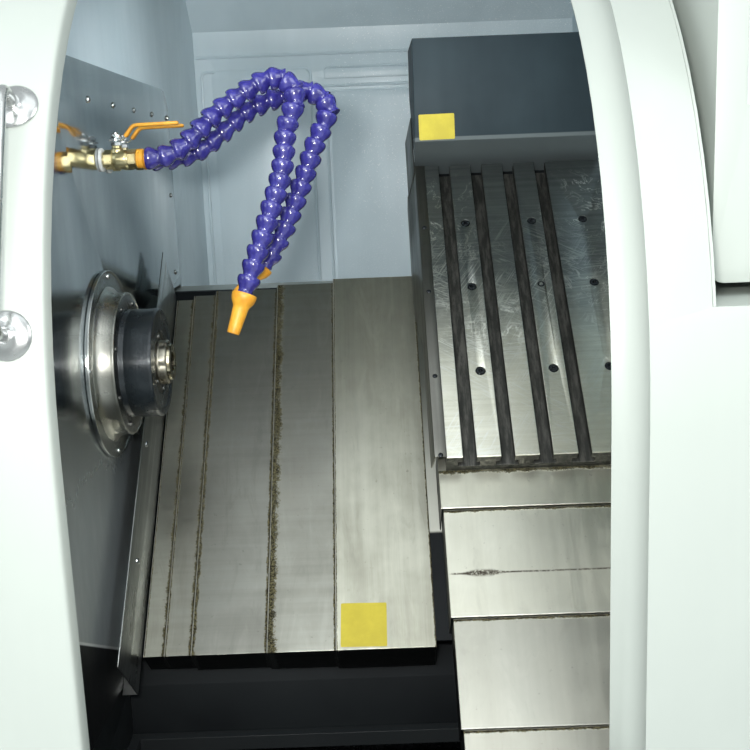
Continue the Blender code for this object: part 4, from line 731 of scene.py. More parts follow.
LINK_PITCH = 0.0195
BULKHEAD_X = -0.247
OUTLET_X = -0.188
VALVES = {"front": Vector((OUTLET_X, -0.35, 1.308)), "rear": Vector((OUTLET_X, -0.312, 1.306))}
ROUTES = {
    "front": [(0.0008, 0.0, 0.0), (0.018, 0.0, 0.0005), (0.047, 0.004, 0.014),
              (0.087, 0.016, 0.051), (0.119, 0.021, 0.073), (0.154, 0.024, 0.092),
              (0.176, 0.023, 0.092), (0.191, 0.018, 0.078), (0.189, 0.01, 0.054),
              (0.18, 0.002, 0.028), (0.173, -0.021, -0.025), (0.155, -0.046, -0.082),
              (0.135, -0.062, -0.138), (0.1244, -0.0705, -0.1692)],
    "rear": [(0.0008, 0.0, 0.0), (0.018, 0.0, 0.0002), (0.043, 0.003, 0.004),
             (0.066, 0.004, 0.013), (0.094, 0.008, 0.033), (0.122, 0.012, 0.055),
             (0.152, 0.014, 0.069), (0.197, 0.016, 0.081), (0.221, 0.013, 0.074),
             (0.232, 0.008, 0.06), (0.23, 0.003, 0.045), (0.215, -0.006, 0.013),
             (0.202, -0.017, -0.022), (0.179, -0.036, -0.078), (0.1665, -0.045, -0.103),
             (0.1534, -0.05, -0.1256), (0.143, -0.0525, -0.1375)]}
LINK_PROFILE = [(0, 0.003), (0.01, 0.0028), (0.0112, 0.0002), (0.0124, -0.001), (0.0136, -0.001),
                (0.0144, 0.0002), (0.0147, 0.0018), (0.0146, 0.004), (0.014, 0.0064), (0.0127, 0.0092),
                (0.0111, 0.0118),
                (0.0098, 0.0142), (0.0092, 0.0162), (0.0094, 0.018), (0.0101, 0.0198), (0.0103, 0.0214), (0, 0.0225)]
hose_end = {}
for side, route in ROUTES.items():
    line = smooth_route([VALVES[side] + Vector(point) for point in route])
    length = sum((b - a).length for a, b in zip(line, line[1:]))
    count = round(length / LINK_PITCH)
    heading = (line[-1] - line[-2]).normalized()
    hose_end[side] = (line[-1], heading)
    starts = cut_short(line, length / count)
    carrier = bpy.data.meshes.new(side + "_route")
    carrier.from_pydata([tuple(p) for p in starts], [(k, k + 1) for k in range(len(starts) - 1)], [])
    model = added("hose_link", turned("hose_link", LINK_PROFILE, Matrix.Identity(4), 28))
    mesh = grown(side + "_hose_links", carrier, link_tree, {"Links": count, "Link": model, "Finish": hose_blue})
    bpy.data.objects.remove(model)
    piece(side + "_hose_links", mesh, hose_blue, node_body[side + "_coolant_hose"], (side + "_coolant_hose",),
          50)
    print(side, "hose:", count, "links over", round(length, 3), "m")

# %% [markdown]
# The nozzle is the last member of each chain: a cup that closes over the last ball, a small ear beside its
# rim and a tube that tapers to the jet. It is turned like the links, and it rides on its own swivel.

# %% Nozzles
BALL_DROP = 0.0101
NOZZLE_LENGTH = 0.043
NOZZLE_PROFILE = [(0, -0.002), (0.0118, -0.0022), (0.0124, -0.0072), (0.0128, -0.0082), (0.0142, -0.009),
                  (0.0153, -0.0084), (0.0157, -0.0062), (0.0154, -0.0026), (0.0143, 0.0012), (0.0124, 0.0048),
                  (0.0106, 0.0078), (0.0099, 0.0105), (0.0096, 0.015), (0.0084, 0.033), (0.008, 0.0412),
                  (0.0074, 0.043), (0.0046, 0.043), (0.0042, 0.04), (0.0042, 0.025), (0, 0.025)]
EAR_LINE = [(-0.014, 0.0, -0.011), (-0.015, 0.0, -0.006), (-0.0142, 0.0, 0.0)]
for side, (end, heading) in hose_end.items():
    place = facing(end + heading * BALL_DROP, heading)
    cup = turned(side + "_cup", NOZZLE_PROFILE, place, 48)
    ear = bar(side + "_ear", [place @ Vector(point) for point in EAR_LINE], 0.0022, 12)
    mesh = joined(side + "_nozzle_cup", [cup, ear])
    piece(side + "_nozzle_cup", mesh, orange, side + "_nozzle", (side + "_nozzle",), 40)
tips = [end + heading * (BALL_DROP + NOZZLE_LENGTH) for end, heading in hose_end.values()]
print("nozzle tips", [[round(v, 3) for v in tip] for tip in tips])

# %% [markdown]
# ## Ball valves
#
# Each hose leaves a small brass ball valve with hexagon ends, screwed to the bulkhead. A hexagon is a circle
# pulled in at six sides, so the same turning function makes it. The adaptor between the valve and the hose is
# orange plastic. The lever is a plated steel strip whose grip has been dipped in orange plastic.

# %% Valve bodies, adaptors and stems
nylon = plain_metal("white_nylon", (0.74, 0.76, 0.75), (0.6, 0.62, 0.61), 0.38, 0.0, 80, 0.05)
STEM_X = BULKHEAD_X + 0.022
LEVER_BASE = 0.0231
NUT_TOP = 0.0312
INLET = [(0, 0.0004), (0.0118, 0.0004), (0.0118, 0.0016), (0.0096, 0.002), (0.0094, 0.0064), (0, 0.0064)]
HEX_IN = [(0, 0.0055), (0.0112, 0.0056), (0.0124, 0.0066), (0.0124, 0.016), (0.0112, 0.017), (0, 0.0171)]
HEX_OUT = [(0, 0.036), (0.0112, 0.0361), (0.0124, 0.0371), (0.0124, 0.0462), (0.0114, 0.0472), (0, 0.0473)]
BARREL = eased([(0, 0.015), (0.0098, 0.015), (0.0108, 0.0195), (0.0117, 0.0215), (0.012, 0.028),
                (0.0117, 0.0335), (0.0106, 0.0355), (0.01, 0.0385), (0, 0.0385)], 0.0012)
NECK = eased([(0, 0.004), (0.0082, 0.004), (0.0078, 0.0125), (0.0062, 0.014), (0.006, 0.0172), (0, 0.0172)], 0.0008)
COLLAR = [(0, 0.0468), (0.01, 0.0468), (0.0112, 0.0474), (0.0122, 0.048), (0.0122, 0.0496), (0.0118, 0.0502),
          (0.0122, 0.0508), (0.0122, 0.0552), (0.0114, 0.0562), (0.0098, 0.0568), (0.0098, 0.059), (0.0104, 0.0605),
          (0, 0.0607)]
LOWER_NUT = [(0, 0.0166), (0.006, 0.0166), (0.007, 0.0173), (0.007, 0.0212), (0.006, 0.0221), (0, 0.0222)]
UPPER_NUT = [(0, 0.0262), (0.0052, 0.0263), (0.006, 0.027), (0.006, 0.0304), (0.005, 0.0313), (0.003, 0.0314),
             (0.003, 0.033), (0.0022, 0.0337), (0, 0.0338)]
WALL_WASHER = eased([(0.01, 0.0003), (0.015, 0.0003), (0.015, 0.0032), (0.014, 0.0042), (0.01, 0.0042)], 0.0006)


def nut_below_stem(angle, along):
    """A hexagon up to the nut's top, and round above it, where the stem shows."""
    return six_sided(angle, along) if along < NUT_TOP else 1.0


for side, outlet in VALVES.items():
    place = axis_at(outlet.y, outlet.z, BULKHEAD_X)
    neck_place = Matrix.Translation((STEM_X, outlet.y, outlet.z))
    body = [turned("inlet", INLET, place, 48), turned("hex_in", HEX_IN, place, 48, squash=six_sided),
            turned("barrel", BARREL, place, 48), turned("hex_out", HEX_OUT, place, 48, squash=six_sided),
            turned("neck", NECK, neck_place, 32)]
    piece(side + "_valve_body", joined(side + "_valve_body", body), brass, "machine", (side + "_valve",))
    piece(side + "_valve_adaptor", turned("collar", COLLAR, place, 48), orange, "machine")
    nuts = [turned("lower_nut", LOWER_NUT, neck_place, 48, squash=six_sided),
            turned("upper_nut", UPPER_NUT, neck_place, 48, squash=nut_below_stem)]
    piece(side + "_valve_nuts", joined(side + "_valve_nuts", nuts), chrome, "machine")
    washer = turned(side + "_wall_washer", WALL_WASHER, place, 48, True)
    piece(side + "_wall_washer", washer, nylon, "machine")

# %% Levers with dipped grips
def strip(name, line, thick, half_width, place):
    """A bent flat strip: its side line, thickened and given width across, with rounded edges."""
    points = [Vector(p) for p in line]
    upper, lower = [], []
    for k, point in enumerate(points):
        ahead = (points[min(k + 1, len(points) - 1)] - points[max(k - 1, 0)]).normalized()
        across = Vector((-ahead.y, ahead.x)) * (thick / 2)
        upper.append(tuple(point + across))
        lower.append(tuple(point - across))
    flat = Matrix(((1, 0, 0, 0), (0, 0, -1, 0), (0, 1, 0, 0), (0, 0, 0, 1)))
    mesh = prism(name, upper + lower[::-1], -half_width, half_width, place @ flat)
    rounding = {"width": thick * 0.42, "segments": 3, "limit_method": "ANGLE", "angle_limit": math.radians(50)}
    return with_modifiers(name, mesh, ("BEVEL", rounding))


LEVER_THICK = 0.0022
ROOT_LINE = [(-0.0085, 0), (0.0075, 0), (0.01, 0.0014), (0.015, 0.0072)]
GRIP_LINE = [(0.0118, 0.0034), (0.0165, 0.009), (0.021, 0.0145), (0.0243, 0.0168), (0.029, 0.0176),
             (0.055, 0.018), (0.081, 0.0184)]
LEVER_WASHER = [(0.0031, -0.0011), (0.0062, -0.0011), (0.0062, 0.0016), (0.0031, 0.0016)]
for side, outlet in VALVES.items():
    lever = side + "_valve_lever"
    place = Matrix.Translation((STEM_X, outlet.y, outlet.z + LEVER_BASE + 0.0011))
    root = [strip("root", ROOT_LINE, LEVER_THICK, 0.005, place), turned("washer", LEVER_WASHER, place, 32, True)]
    piece(side + "_lever_root", joined(side + "_lever_root", root), chrome, lever, (lever,))
    grip = strip(side + "_lever_grip", GRIP_LINE, 0.0046, 0.0056, place)
    piece(side + "_lever_grip", grip, orange, lever, sharp=60)

# %% [markdown]
# ## Spindle
#
# The spindle stands out of the bulkhead through a polished disc with a thin rolled rim. Inside it a ring
# curves up like a cove to a lip, and the black housing of the spindle fills the ring. All of it is turned,
# so every surface carries fine rings about the axis. They are painted by distance from the axis rather than
# cut into the mesh.

# %% Finishes of turned steel, about the spindle's axis
SPINDLE_UP, SPINDLE_OUT = 0.109, 0.085
SPINDLE_Y = SLOPE_Y + (SPINDLE_UP - SPINDLE_OUT) * math.sqrt(0.5)
SPINDLE_Z = SLOPE_Z + (SPINDLE_UP + SPINDLE_OUT) * math.sqrt(0.5)
RINGS_PER_METRE = 2600


def lathe_finish(name, light, dark, roughness, metallic=1.0, ring=0.1, stain=0.0, stain_colour=None, coat=0.0,
                 painted_rim_from=None):
    """Metal with turning rings about the spindle's axis; if asked, stains, a rim side painted flat and a painted
    highlight.
    """
    steel = Finish(name, metallic=metallic, roughness=roughness, coat_weight=coat, coat_roughness=0.06)
    along, across, up = steel.axes(steel.mapped(centre=(0, SPINDLE_Y, SPINDLE_Z)))
    radius = (across * across + up * up) ** 0.5
    combined = steel.node("ShaderNodeCombineXYZ", inputs={
        0: radius * RINGS_PER_METRE, 1: along * RINGS_PER_METRE}).outputs[0]
    rings = steel.noise(combined, 1.0, 2.0, 0.6)
    cloud = steel.noise(steel.place, 22.0, 4.0, 0.6).ease(0.34, 0.66)
    shade = steel.blend(cloud * 0.7 + rings * 0.3, dark, light)
    if stain:
        marks = steel.noise(steel.place, 60.0, 5.0, 0.7).ease(0.5, 0.66)
        shade = steel.blend(marks * stain, shade, stain_colour)
    # The rim's outer side is painted one flat grey in place of its reflections, and a painted highlight runs along its
    # front edge.
    if painted_rim_from:
        outer, front = painted_rim_from
        side = radius.ease(outer - 0.0008, outer - 0.0002)
        rim_highlight = along.ease(front - 0.0012, front - 0.0005)
        shade = steel.blend(side * (1 - rim_highlight), shade, (0.52, 0.54, 0.53))
        shade = steel.blend(side * rim_highlight * 0.9, shade, (0.95, 0.97, 0.95))
    steel.colour(shade)
    steel.roughness(roughness + ring * rings + 0.1 * (1 - cloud))
    steel.bump(rings, 0.45, 0.0006)
    return steel.material


RIM_RADIUS = 0.1203
RIM_FRONT = BULKHEAD_X + 0.0055
spindle_polish = lathe_finish("spindle_polish", (0.46, 0.48, 0.465), (0.33, 0.35, 0.34), 0.14, ring=0.06,
                              painted_rim_from=(RIM_RADIUS, RIM_FRONT))
cove_polish = lathe_finish("cove_polish", (0.56, 0.555, 0.5), (0.4, 0.4, 0.36), 0.18, ring=0.08)
ring_face_dark = lathe_finish("ring_face_dark", (0.17, 0.175, 0.165), (0.09, 0.093, 0.088), 0.2, ring=0.08, stain=0.5,
                              stain_colour=(0.03, 0.028, 0.022))
housing_black = lathe_finish("housing_black", (0.024, 0.031, 0.036), (0.013, 0.017, 0.02), 0.2, 0.3, 0.06, coat=0.3)
nose_dark = lathe_finish("nose_dark", (0.2, 0.195, 0.17), (0.07, 0.066, 0.055), 0.22, ring=0.1, stain=0.6,
                         stain_colour=(0.02, 0.017, 0.012))
nose_worn = lathe_finish("nose_worn", (0.56, 0.54, 0.45), (0.24, 0.22, 0.17), 0.26, ring=0.12, stain=0.7,
                         stain_colour=(0.07, 0.055, 0.033))

# %% Disc, cove ring and housing
spindle_place = axis_at(SPINDLE_Y, SPINDLE_Z)
DISC_BACK = BULKHEAD_X + 0.0003
RING_FRONT = DISC_BACK + 0.027
HOUSING_FRONT = RING_FRONT + 0.04


def spun(name, profile, finish, body="machine", stands_for=(), steps=128, sharp=40, squash=None):
    """A ring-shaped piece turned about the spindle's axis."""
    piece(name, turned(name, profile, spindle_place, steps, True, squash), finish, body, stands_for, sharp)


disc = eased([(0.096, DISC_BACK), (RIM_RADIUS - 0.0004, DISC_BACK), (RIM_RADIUS, DISC_BACK + 0.001),
              (RIM_RADIUS, RIM_FRONT - 0.0005), (RIM_RADIUS - 0.0006, RIM_FRONT),
              (RIM_RADIUS - 0.0016, RIM_FRONT - 0.0004), (RIM_RADIUS - 0.0028, RIM_FRONT - 0.0016),
              (0.108, RIM_FRONT - 0.002), (0.096, RIM_FRONT - 0.0019)], 0.0005, 2)
spun("spindle_disc", disc, spindle_polish, stands_for=("spindle_flange",))
cove = [(0.0702, DISC_BACK + 0.001), (0.099, DISC_BACK + 0.001), (0.0998, DISC_BACK + 0.0042),
        (0.0985, DISC_BACK + 0.0054)]
cove += [(0.0985 - 0.008 * math.sin(math.radians(a)), DISC_BACK + 0.0054 + 0.017 * (1 - math.cos(math.radians(a))))
         for a in range(15, 91, 15)]
cove += [(0.0909, RING_FRONT - 0.003), (0.0915, RING_FRONT - 0.0016), (0.0912, RING_FRONT - 0.0004),
         (0.0906, RING_FRONT), (0.0894, RING_FRONT), (0.0888, RING_FRONT - 0.001), (0.0702, RING_FRONT - 0.0014),
         (0.0702, RING_FRONT - 0.006)]
spun("spindle_cove_ring", cove, cove_polish)
ring_face = [(0.0701, RING_FRONT - 0.002), (0.0884, RING_FRONT - 0.002), (0.0884, RING_FRONT - 0.0006),
             (0.0878, RING_FRONT - 0.0002), (0.072, RING_FRONT - 0.0002), (0.0701, RING_FRONT - 0.0008)]
spun("ring_face_plate", ring_face, ring_face_dark)
housing = [(0.046, HOUSING_FRONT - 0.01), (0.041, HOUSING_FRONT - 0.01), (0.041, HOUSING_FRONT - 0.0022),
           (0.0417, HOUSING_FRONT - 0.0014), (0.0585, HOUSING_FRONT - 0.0014), (0.0592, HOUSING_FRONT - 0.0006),
           (0.06, HOUSING_FRONT), (0.068, HOUSING_FRONT), (0.0692, HOUSING_FRONT - 0.0012),
           (0.0695, HOUSING_FRONT - 0.003), (0.0695, HOUSING_FRONT - 0.033), (0.069, HOUSING_FRONT - 0.0336),
           (0.069, HOUSING_FRONT - 0.035), (0.0695, HOUSING_FRONT - 0.0356), (0.0695, BULKHEAD_X - 0.006),
           (0.08, BULKHEAD_X - 0.006), (0.08, -0.604), (0.046, -0.604)]
spun("spindle_housing_skin", housing, housing_black, stands_for=("spindle_housing",))

# %% Nose, collet nut and collet, which turn
NOSE_END = HOUSING_FRONT + 0.01
NOSE_FACE = HOUSING_FRONT - 0.002
nose = [(0.0447, -0.62), (0.0447, HOUSING_FRONT - 0.0106), (0.0396, HOUSING_FRONT - 0.0104),
        (0.04, HOUSING_FRONT - 0.0098), (0.04, NOSE_FACE - 0.001), (0.0397, NOSE_FACE - 0.0002),
        (0.039, NOSE_FACE), (0.0382, NOSE_FACE - 0.0003),
        (0.0378, NOSE_FACE - 0.001), (0.0374, NOSE_FACE - 0.0003), (0.031, NOSE_FACE - 0.0003),
        (0.0305, NOSE_FACE - 0.001), (0.026, NOSE_FACE - 0.001), (0.026, -0.62)]
spun("spindle_nose", nose, nose_dark, "spindle", ("spindle_shaft",), steps=96)
tail = [(0.019, -0.64), (0.03, -0.64), (0.03, -0.758), (0.029, -0.76), (0.019, -0.76)]
spun("spindle_tail", tail, turned_steel, "spindle", steps=64, sharp=32)


def lobed(angle, along):
    """Six shallow notches round the collet nut, for its spanner."""
    part = (angle + math.pi / 6) % (math.pi / 3) - math.pi / 6
    return 1.0 - 0.06 * math.exp(-(part / 0.14) ** 2) if along > NOSE_FACE + 0.0022 else 1.0


nut = eased([(0.024, NOSE_FACE - 0.0008), (0.028, NOSE_FACE - 0.0008), (0.0285, NOSE_FACE + 0.0006),
             (0.0285, NOSE_FACE + 0.002), (0.028, NOSE_FACE + 0.0026), (0.0284, NOSE_FACE + 0.0034),
             (0.0284, NOSE_END - 0.0022), (0.027, NOSE_END - 0.0003), (0.0256, NOSE_END), (0.0246, NOSE_END - 0.0006),
             (0.024, NOSE_END - 0.005)], 0.0007)
spun("collet_nut", nut, nose_worn, "spindle", steps=144, sharp=45, squash=lobed)
jaws = eased([(0.013, NOSE_END - 0.08), (0.0182, NOSE_END - 0.08), (0.0184, NOSE_END - 0.04),
              (0.0238, NOSE_END - 0.002), (0.0233, NOSE_END + 0.0034), (0.0222, NOSE_END + 0.004),
              (0.0142, NOSE_END + 0.004), (0.013, NOSE_END + 0.0028)], 0.0006)
collet_steel = Finish("collet_steel", metallic=1.0, roughness=0.16)
ahead, across, up = collet_steel.axes(collet_steel.mapped(centre=(0, SPINDLE_Y, SPINDLE_Z)))
third = math.sqrt(3) / 2
slits = [abs(across) + (1 - up.ease(-0.002, 0.0)),
         abs(across * 0.5 + up * third) + (1 - (across * third - up * 0.5).ease(-0.002, 0.0)),
         abs(across * 0.5 - up * third) + (1 - (across * -third - up * 0.5).ease(-0.002, 0.0))]
slit = slits[0].least(slits[1]).least(slits[2]).ease(0.0004, 0.0009)
smear = collet_steel.noise(collet_steel.place, 90.0, 4.0).ease(0.4, 0.65)
collet_shade = collet_steel.blend(smear, (0.26, 0.235, 0.16), (0.56, 0.52, 0.38))
# The three slits are painted near black: painted shade of cuts that the mesh doesn't have.
collet_steel.colour(collet_steel.blend(slit, (0.006, 0.006, 0.006), collet_shade))
collet_steel.roughness(0.16 + 0.5 * (1 - slit) + 0.12 * (1 - smear))
collet_steel.bump(slit, 0.6, 0.0006)
spun("collet_jaws", jaws, collet_steel.material, "spindle", ("collet",), 96, 32)
for node, finish in (("spindle_pulley", turned_steel), ("draw_cylinder", blackened), ("spindle_motor", blackened),
                     ("motor_pulley", turned_steel)):
    softened(node, 0.0008, finish, sharp=24)

# %% Screws of the disc, of the ring and of the nose
screw_steel = plain_metal("screw_steel", (0.42, 0.43, 0.42), (0.22, 0.225, 0.22), 0.16, 1.0, 300, 0.05)
TO_RIGHT = (1, 0, 0)


def ring_of(count, radius, x, first_deg):
    """(place, direction) pairs round the spindle's axis, all facing along it."""
    angles = [math.radians(first_deg + 360 / count * k) for k in range(count)]
    return [(Vector((x, SPINDLE_Y + radius * math.cos(a), SPINDLE_Z + radius * math.sin(a))), TO_RIGHT)
            for a in angles]


screws("disc_screws", ring_of(4, 0.1125, RIM_FRONT - 0.002, 84), dome_head(0.0038, 0.0026), chrome, "machine", 5)
screws("ring_screws", ring_of(8, 0.0795, RING_FRONT - 0.0002, 22), cap_head(0.0032, 0.0018), screw_steel, "machine",
       7)
screws("nose_face_screws", ring_of(6, 0.0345, NOSE_FACE - 0.0003, 35), cap_head(0.0026, 0.0016), chrome, "spindle", 9)

# %% [markdown]
# ## Way covers
#
# The ways are roofed by telescopic sheets. Each is brushed stainless, bent down at its edges, and slides over
# the next. Where the upper sheet's edge rests on the lower one, chips and coolant collect into a brown line,
# and a painted highlight runs along the wiping edge. Both marks are placed by measuring along the slide from the
# edge, so they stay with their own sheet when it moves. The bent sides are painted near black, as painted shade.

# %% A sheet cover's finish
HAIR_SHARE = 0.3
EDGE_WIDTH = 0.0009
EDGE_INSET = 0.0008


def cover_finish(node, light, dark, seams, edge, along_x, brush, scratch=None):
    """Brushed cover steel: dirt beside each seam, a painted highlight on each edge, painted shade on bent sides.

    Seams are (place, width, sign) along the sliding direction: dirt lies on the sign's side of the place.
    A scratch is (place, start, end): its place up the slope and its two ends across it.
    """
    top = max((SLOPE.inverted() @ vertex.co).z for vertex in frame["nodes"][node].data.vertices)
    steel = Finish(node + "_sheet", metallic=1.0, roughness=0.34)
    flat = steel.mapped(**on_the_slope)
    x, t, h = steel.axes(flat)
    run = x if along_x else t
    hair = steel.noise(steel.mapped(brush, **on_the_slope), 1.0, 3.0, 0.7)
    streak = steel.noise(steel.mapped([min(g, 60) for g in brush], **on_the_slope), 1.0, 2.0, 0.6)
    cloud = steel.noise(flat, 4.2, 5.0, 0.62)
    wear = (cloud * 0.76 + streak * 0.24).ease(0.33, 0.68)
    shade = steel.blend(wear * (1 - HAIR_SHARE) + hair * HAIR_SHARE, dark, light)
    spots = steel.noise(flat, 130.0, 3.0, 0.7).ease(0.66, 0.74)
    shade = steel.blend(spots * 0.35, shade, tuple(part * 0.45 for part in dark))
    ragged = steel.noise(flat, 75.0, 4.0, 0.75)
    crumbs = steel.noise(flat, 420.0, 3.0, 0.8)
    dirt_and_painted_light = None
    for place, width, sign in seams:
        away = (run - place) * sign
        near = 1 - away / width
        here = (near * 0.55 + ragged * 0.8 + crumbs * 0.7).ease(0.9, 1.04) * away.ease(-0.0006, 0.0002)
        here = here * (1 - away.ease(width * 0.9, width))
        dirt_and_painted_light = here if dirt_and_painted_light is None else dirt_and_painted_light.most(here)
    soil_and_painted_shade = steel.blend(crumbs.ease(0.44, 0.6), (0.03, 0.028, 0.018), (0.23, 0.21, 0.12))
    shade = steel.blend(dirt_and_painted_light, shade, soil_and_painted_shade)
    rough = 0.26 + 0.18 * (1 - wear) + 0.1 * hair + dirt_and_painted_light * 0.4
    # A painted highlight line along the wiping edge.
    edge_highlight = (1 - abs(run - edge).ease(EDGE_WIDTH * 0.5, EDGE_WIDTH)) * ragged.ease(0.25, 0.5)
    shade = steel.blend(edge_highlight * 0.45, shade, (0.78, 0.77, 0.72))
    if scratch:
        across, low, high = scratch
        wander = across + 0.0016 * (steel.noise(flat, 22.0, 3.0) - 0.5)
        blot = 1 + 2.6 * (1 - abs(x - (low + 0.045)).ease(0.006, 0.03))
        line = 1 - (abs(run - wander) / blot).ease(0.0004, 0.0018)
        line = line * x.ease(low, low + 0.01) * (1 - x.ease(high - 0.02, high)) * crumbs.ease(0.3, 0.52)
        shade = steel.blend(line * 0.9, shade, (0.045, 0.03, 0.018))
        rough = rough + line * 0.4
    drips = steel.noise(steel.mapped((34, 7, 34) if along_x else (26, 9, 26), **on_the_slope), 1.0, 4.0, 0.7, 1.2)
    shade = steel.blend(drips.ease(0.5, 0.7) * 0.16, shade, tuple(min(1.0, part * 1.2) for part in light))
    shade = steel.blend((1 - drips.ease(0.3, 0.46)) * 0.22, shade, tuple(part * 0.72 for part in dark))
    # Below the sheet's top, the bent-down sides are painted near black: painted shade.
    bent_side_shade = (top - h).ease(0.0012, 0.0026)
    steel.colour(steel.blend(bent_side_shade, shade, (0.022, 0.024, 0.024)))
    steel.roughness(rough)
    steel.bump(hair * 0.1 + dirt_and_painted_light * crumbs, 0.35, 0.0006)
    return steel.material


ALONG_THE_BED, UP_THE_SLOPE = (2.2, 900, 900), (900, 2.2, 900)
SHEET_EDGE = 0.0007
Z_SEAMS = [-0.2247, -0.196, -0.1595, -0.06, 0.03, 0.16]
z_grime = [(0.007, 0.002), (0.007, 0.003), (0.006, 0.006), (0.004, 0.015), (0.003, 0.002)]
z_names = ["z_cover_fixed", "z_cover_first", "z_cover_second", "z_cover_third", "z_cover_saddle"]
z_tones = [((0.46, 0.458, 0.395), (0.27, 0.268, 0.225)), ((0.38, 0.378, 0.328), (0.22, 0.218, 0.185)),
           ((0.33, 0.332, 0.295), (0.19, 0.19, 0.168)), ((0.38, 0.381, 0.335), (0.21, 0.21, 0.182)),
           ((0.57, 0.567, 0.478), (0.28, 0.277, 0.225))]
for k, node in enumerate(z_names):
    seams = [(Z_SEAMS[k + 1], z_grime[k][0], -1.0), (Z_SEAMS[k] + 0.0012, z_grime[k][1], 1.0)]
    light, dark = z_tones[k]
    grain = UP_THE_SLOPE if node == "z_cover_saddle" else ALONG_THE_BED
    finish = cover_finish(node, light, dark, seams, Z_SEAMS[k] + EDGE_INSET, True, grain)
    softened(node, SHEET_EDGE, finish, sharp=24)

X_SEAMS = [0.0, -0.055, -0.2, -0.333, -0.42]
x_names = ["x_cover_plate", "x_cover_upper", "x_cover_lower", "x_cover_saddle"]
x_tones = [((0.68, 0.676, 0.572), (0.49, 0.486, 0.405)), ((0.7, 0.696, 0.6), (0.52, 0.516, 0.435)),
           ((0.48, 0.478, 0.422), (0.37, 0.368, 0.32)), ((0.43, 0.428, 0.378), (0.33, 0.328, 0.285))]
for k, node in enumerate(x_names):
    seams = [(X_SEAMS[k] - 0.0005, 0.0042, -1.0)] if k else [(0.0, 0.0075, -1.0)]
    light, dark = x_tones[k]
    scratch = (-0.143, 0.176, 0.42) if node == "x_cover_upper" else None
    finish = cover_finish(node, light, dark, seams, X_SEAMS[k + 1] + EDGE_INSET, False, UP_THE_SLOPE, scratch)
    softened(node, SHEET_EDGE, finish, sharp=24)
print("covers:", ", ".join(z_names + x_names))

# %% [markdown]
# ## Tool plate
#
# The plate that carries the tools is ground, scraped by years of clamping, and cut by four T-slots whose
# floors hold dark, oily chips. Depth below the face decides where that dark lies: oily chips with painted shade in
# the slots. The plate is painted as a reflection: dark grey towards the top, where it mirrors the dark hood, and
# bright towards the bottom. The pale scribble of dried coolant is a thin band picked out of a noise: only where the
# noise passes one chosen value.

# %% Ground plate with oily slots
plate = Finish("tool_plate_ground", metallic=1.0, roughness=0.3)
flat = plate.mapped(**on_the_slope)
x, t, h = plate.axes(flat)
hair = plate.noise(plate.mapped((2.5, 1100, 900), **on_the_slope), 1.0, 3.0, 0.7)
streak = plate.noise(plate.mapped((3.0, 140, 60), **on_the_slope), 1.0, 3.0, 0.65)
cloud = plate.noise(flat, 6.5, 5.0, 0.62)
wear = (cloud * 0.55 + streak * 0.45).ease(0.34, 0.66)
# A painted reflection: dark grey towards the top, where the plate mirrors the dark hood, bright towards the bottom.
painted_reflection_mask = (t + 0.2 * (plate.noise(flat, 9.0, 4.0, 0.6) - 0.5)).ease(0.12, 0.32)
bare = plate.blend(wear * 0.65 + hair * 0.35, (0.66, 0.65, 0.52), (1.0, 0.99, 0.86))
painted_reflection_grey = plate.blend(wear * 0.65 + hair * 0.35, (0.19, 0.205, 0.2), (0.38, 0.4, 0.39))
shade = plate.blend(painted_reflection_mask, bare, painted_reflection_grey)
wander = plate.noise(flat, 17.0, 4.0, 0.66, 1.3)
scribble = (1 - abs(wander - 0.5).ease(0.004, 0.014)) * t.ease(0.06, 0.16) * (1 - t.ease(0.46, 0.52))
scribble = scribble * plate.noise(flat, 8.0, 2.0).ease(0.42, 0.6)
SLOPE_TURN = Matrix.Rotation(math.radians(SLOPE_DEG), 3, "X")
strokes = None
for degrees, long, patches in ((58, 14, 7.0), (-32, 20, 10.0), (5, 16, 8.0)):
    rubbed_way = (SLOPE_TURN @ Matrix.Rotation(math.radians(degrees), 3, "Z")).to_euler()
    along_way = plate.mapped((long, 420, 420), [math.degrees(a) for a in rubbed_way], (0, SLOPE_Y, SLOPE_Z))
    family = plate.noise(along_way, 1.0, 3.0, 0.6, 1.1).ease(0.55, 0.61)
    family = family * plate.noise(flat, patches, 2.0).ease(0.42, 0.56)
    strokes = family if strokes is None else strokes.most(family)
strokes = strokes * (1 - t.ease(0.3, 0.44)) * (1 - (x - 0.33).ease(0.0, 0.06) * 0.5)
shade = plate.blend(scribble.most(strokes) * 0.7, shade, (0.94, 0.95, 0.88))
chip = plate.noise(flat, 160.0, 3.0, 0.7)
depth = 0 - h
below = depth.ease(0.0006, 0.0024)
rubbed = depth.ease(0.0, 0.0006) * (1 - depth.ease(0.0008, 0.0016)) * chip.ease(0.42, 0.55)
# In the slots the colour is dark: oily chips, together with painted shade of the recess.
sludge_and_shade = plate.noise(plate.mapped((1, 0.16, 1), **on_the_slope), 120.0, 4.0, 0.7).ease(0.4, 0.66)
shade = plate.blend(below, shade, plate.blend(sludge_and_shade, (0.06, 0.062, 0.057), (0.145, 0.143, 0.13)))
shade = plate.blend(rubbed * 0.7, shade, (0.8, 0.79, 0.72))
plate.colour(shade)
plate.roughness(0.29 + 0.1 * (1 - wear) + 0.16 * scribble + 0.25 * below)
plate.bump(hair * 0.12 + below * chip * 0.5, 0.3, 0.0006)
softened("tool_plate", 0.0006, plate.material, sharp=24)

# %% Screws of the tool plate
normal = (0, -math.sqrt(0.5), math.sqrt(0.5))
seat_depth = 0.006
plate_places = [(on_slope(x, t, seat_depth), normal) for x in (0.238, 0.338, 0.415) for t in (0.134, 0.281, 0.403)]
screws("plate_screws", plate_places, cap_head(0.0058, 0.0062), blackened, "slide", 11)
guard_places = [(on_slope(0.1752, t, 0.0006), normal) for t in (0.0045, 0.128, 0.275, 0.397)]
screws("guard_screws", guard_places, dome_head(0.0036, 0.002), blackened, "slide", 13)
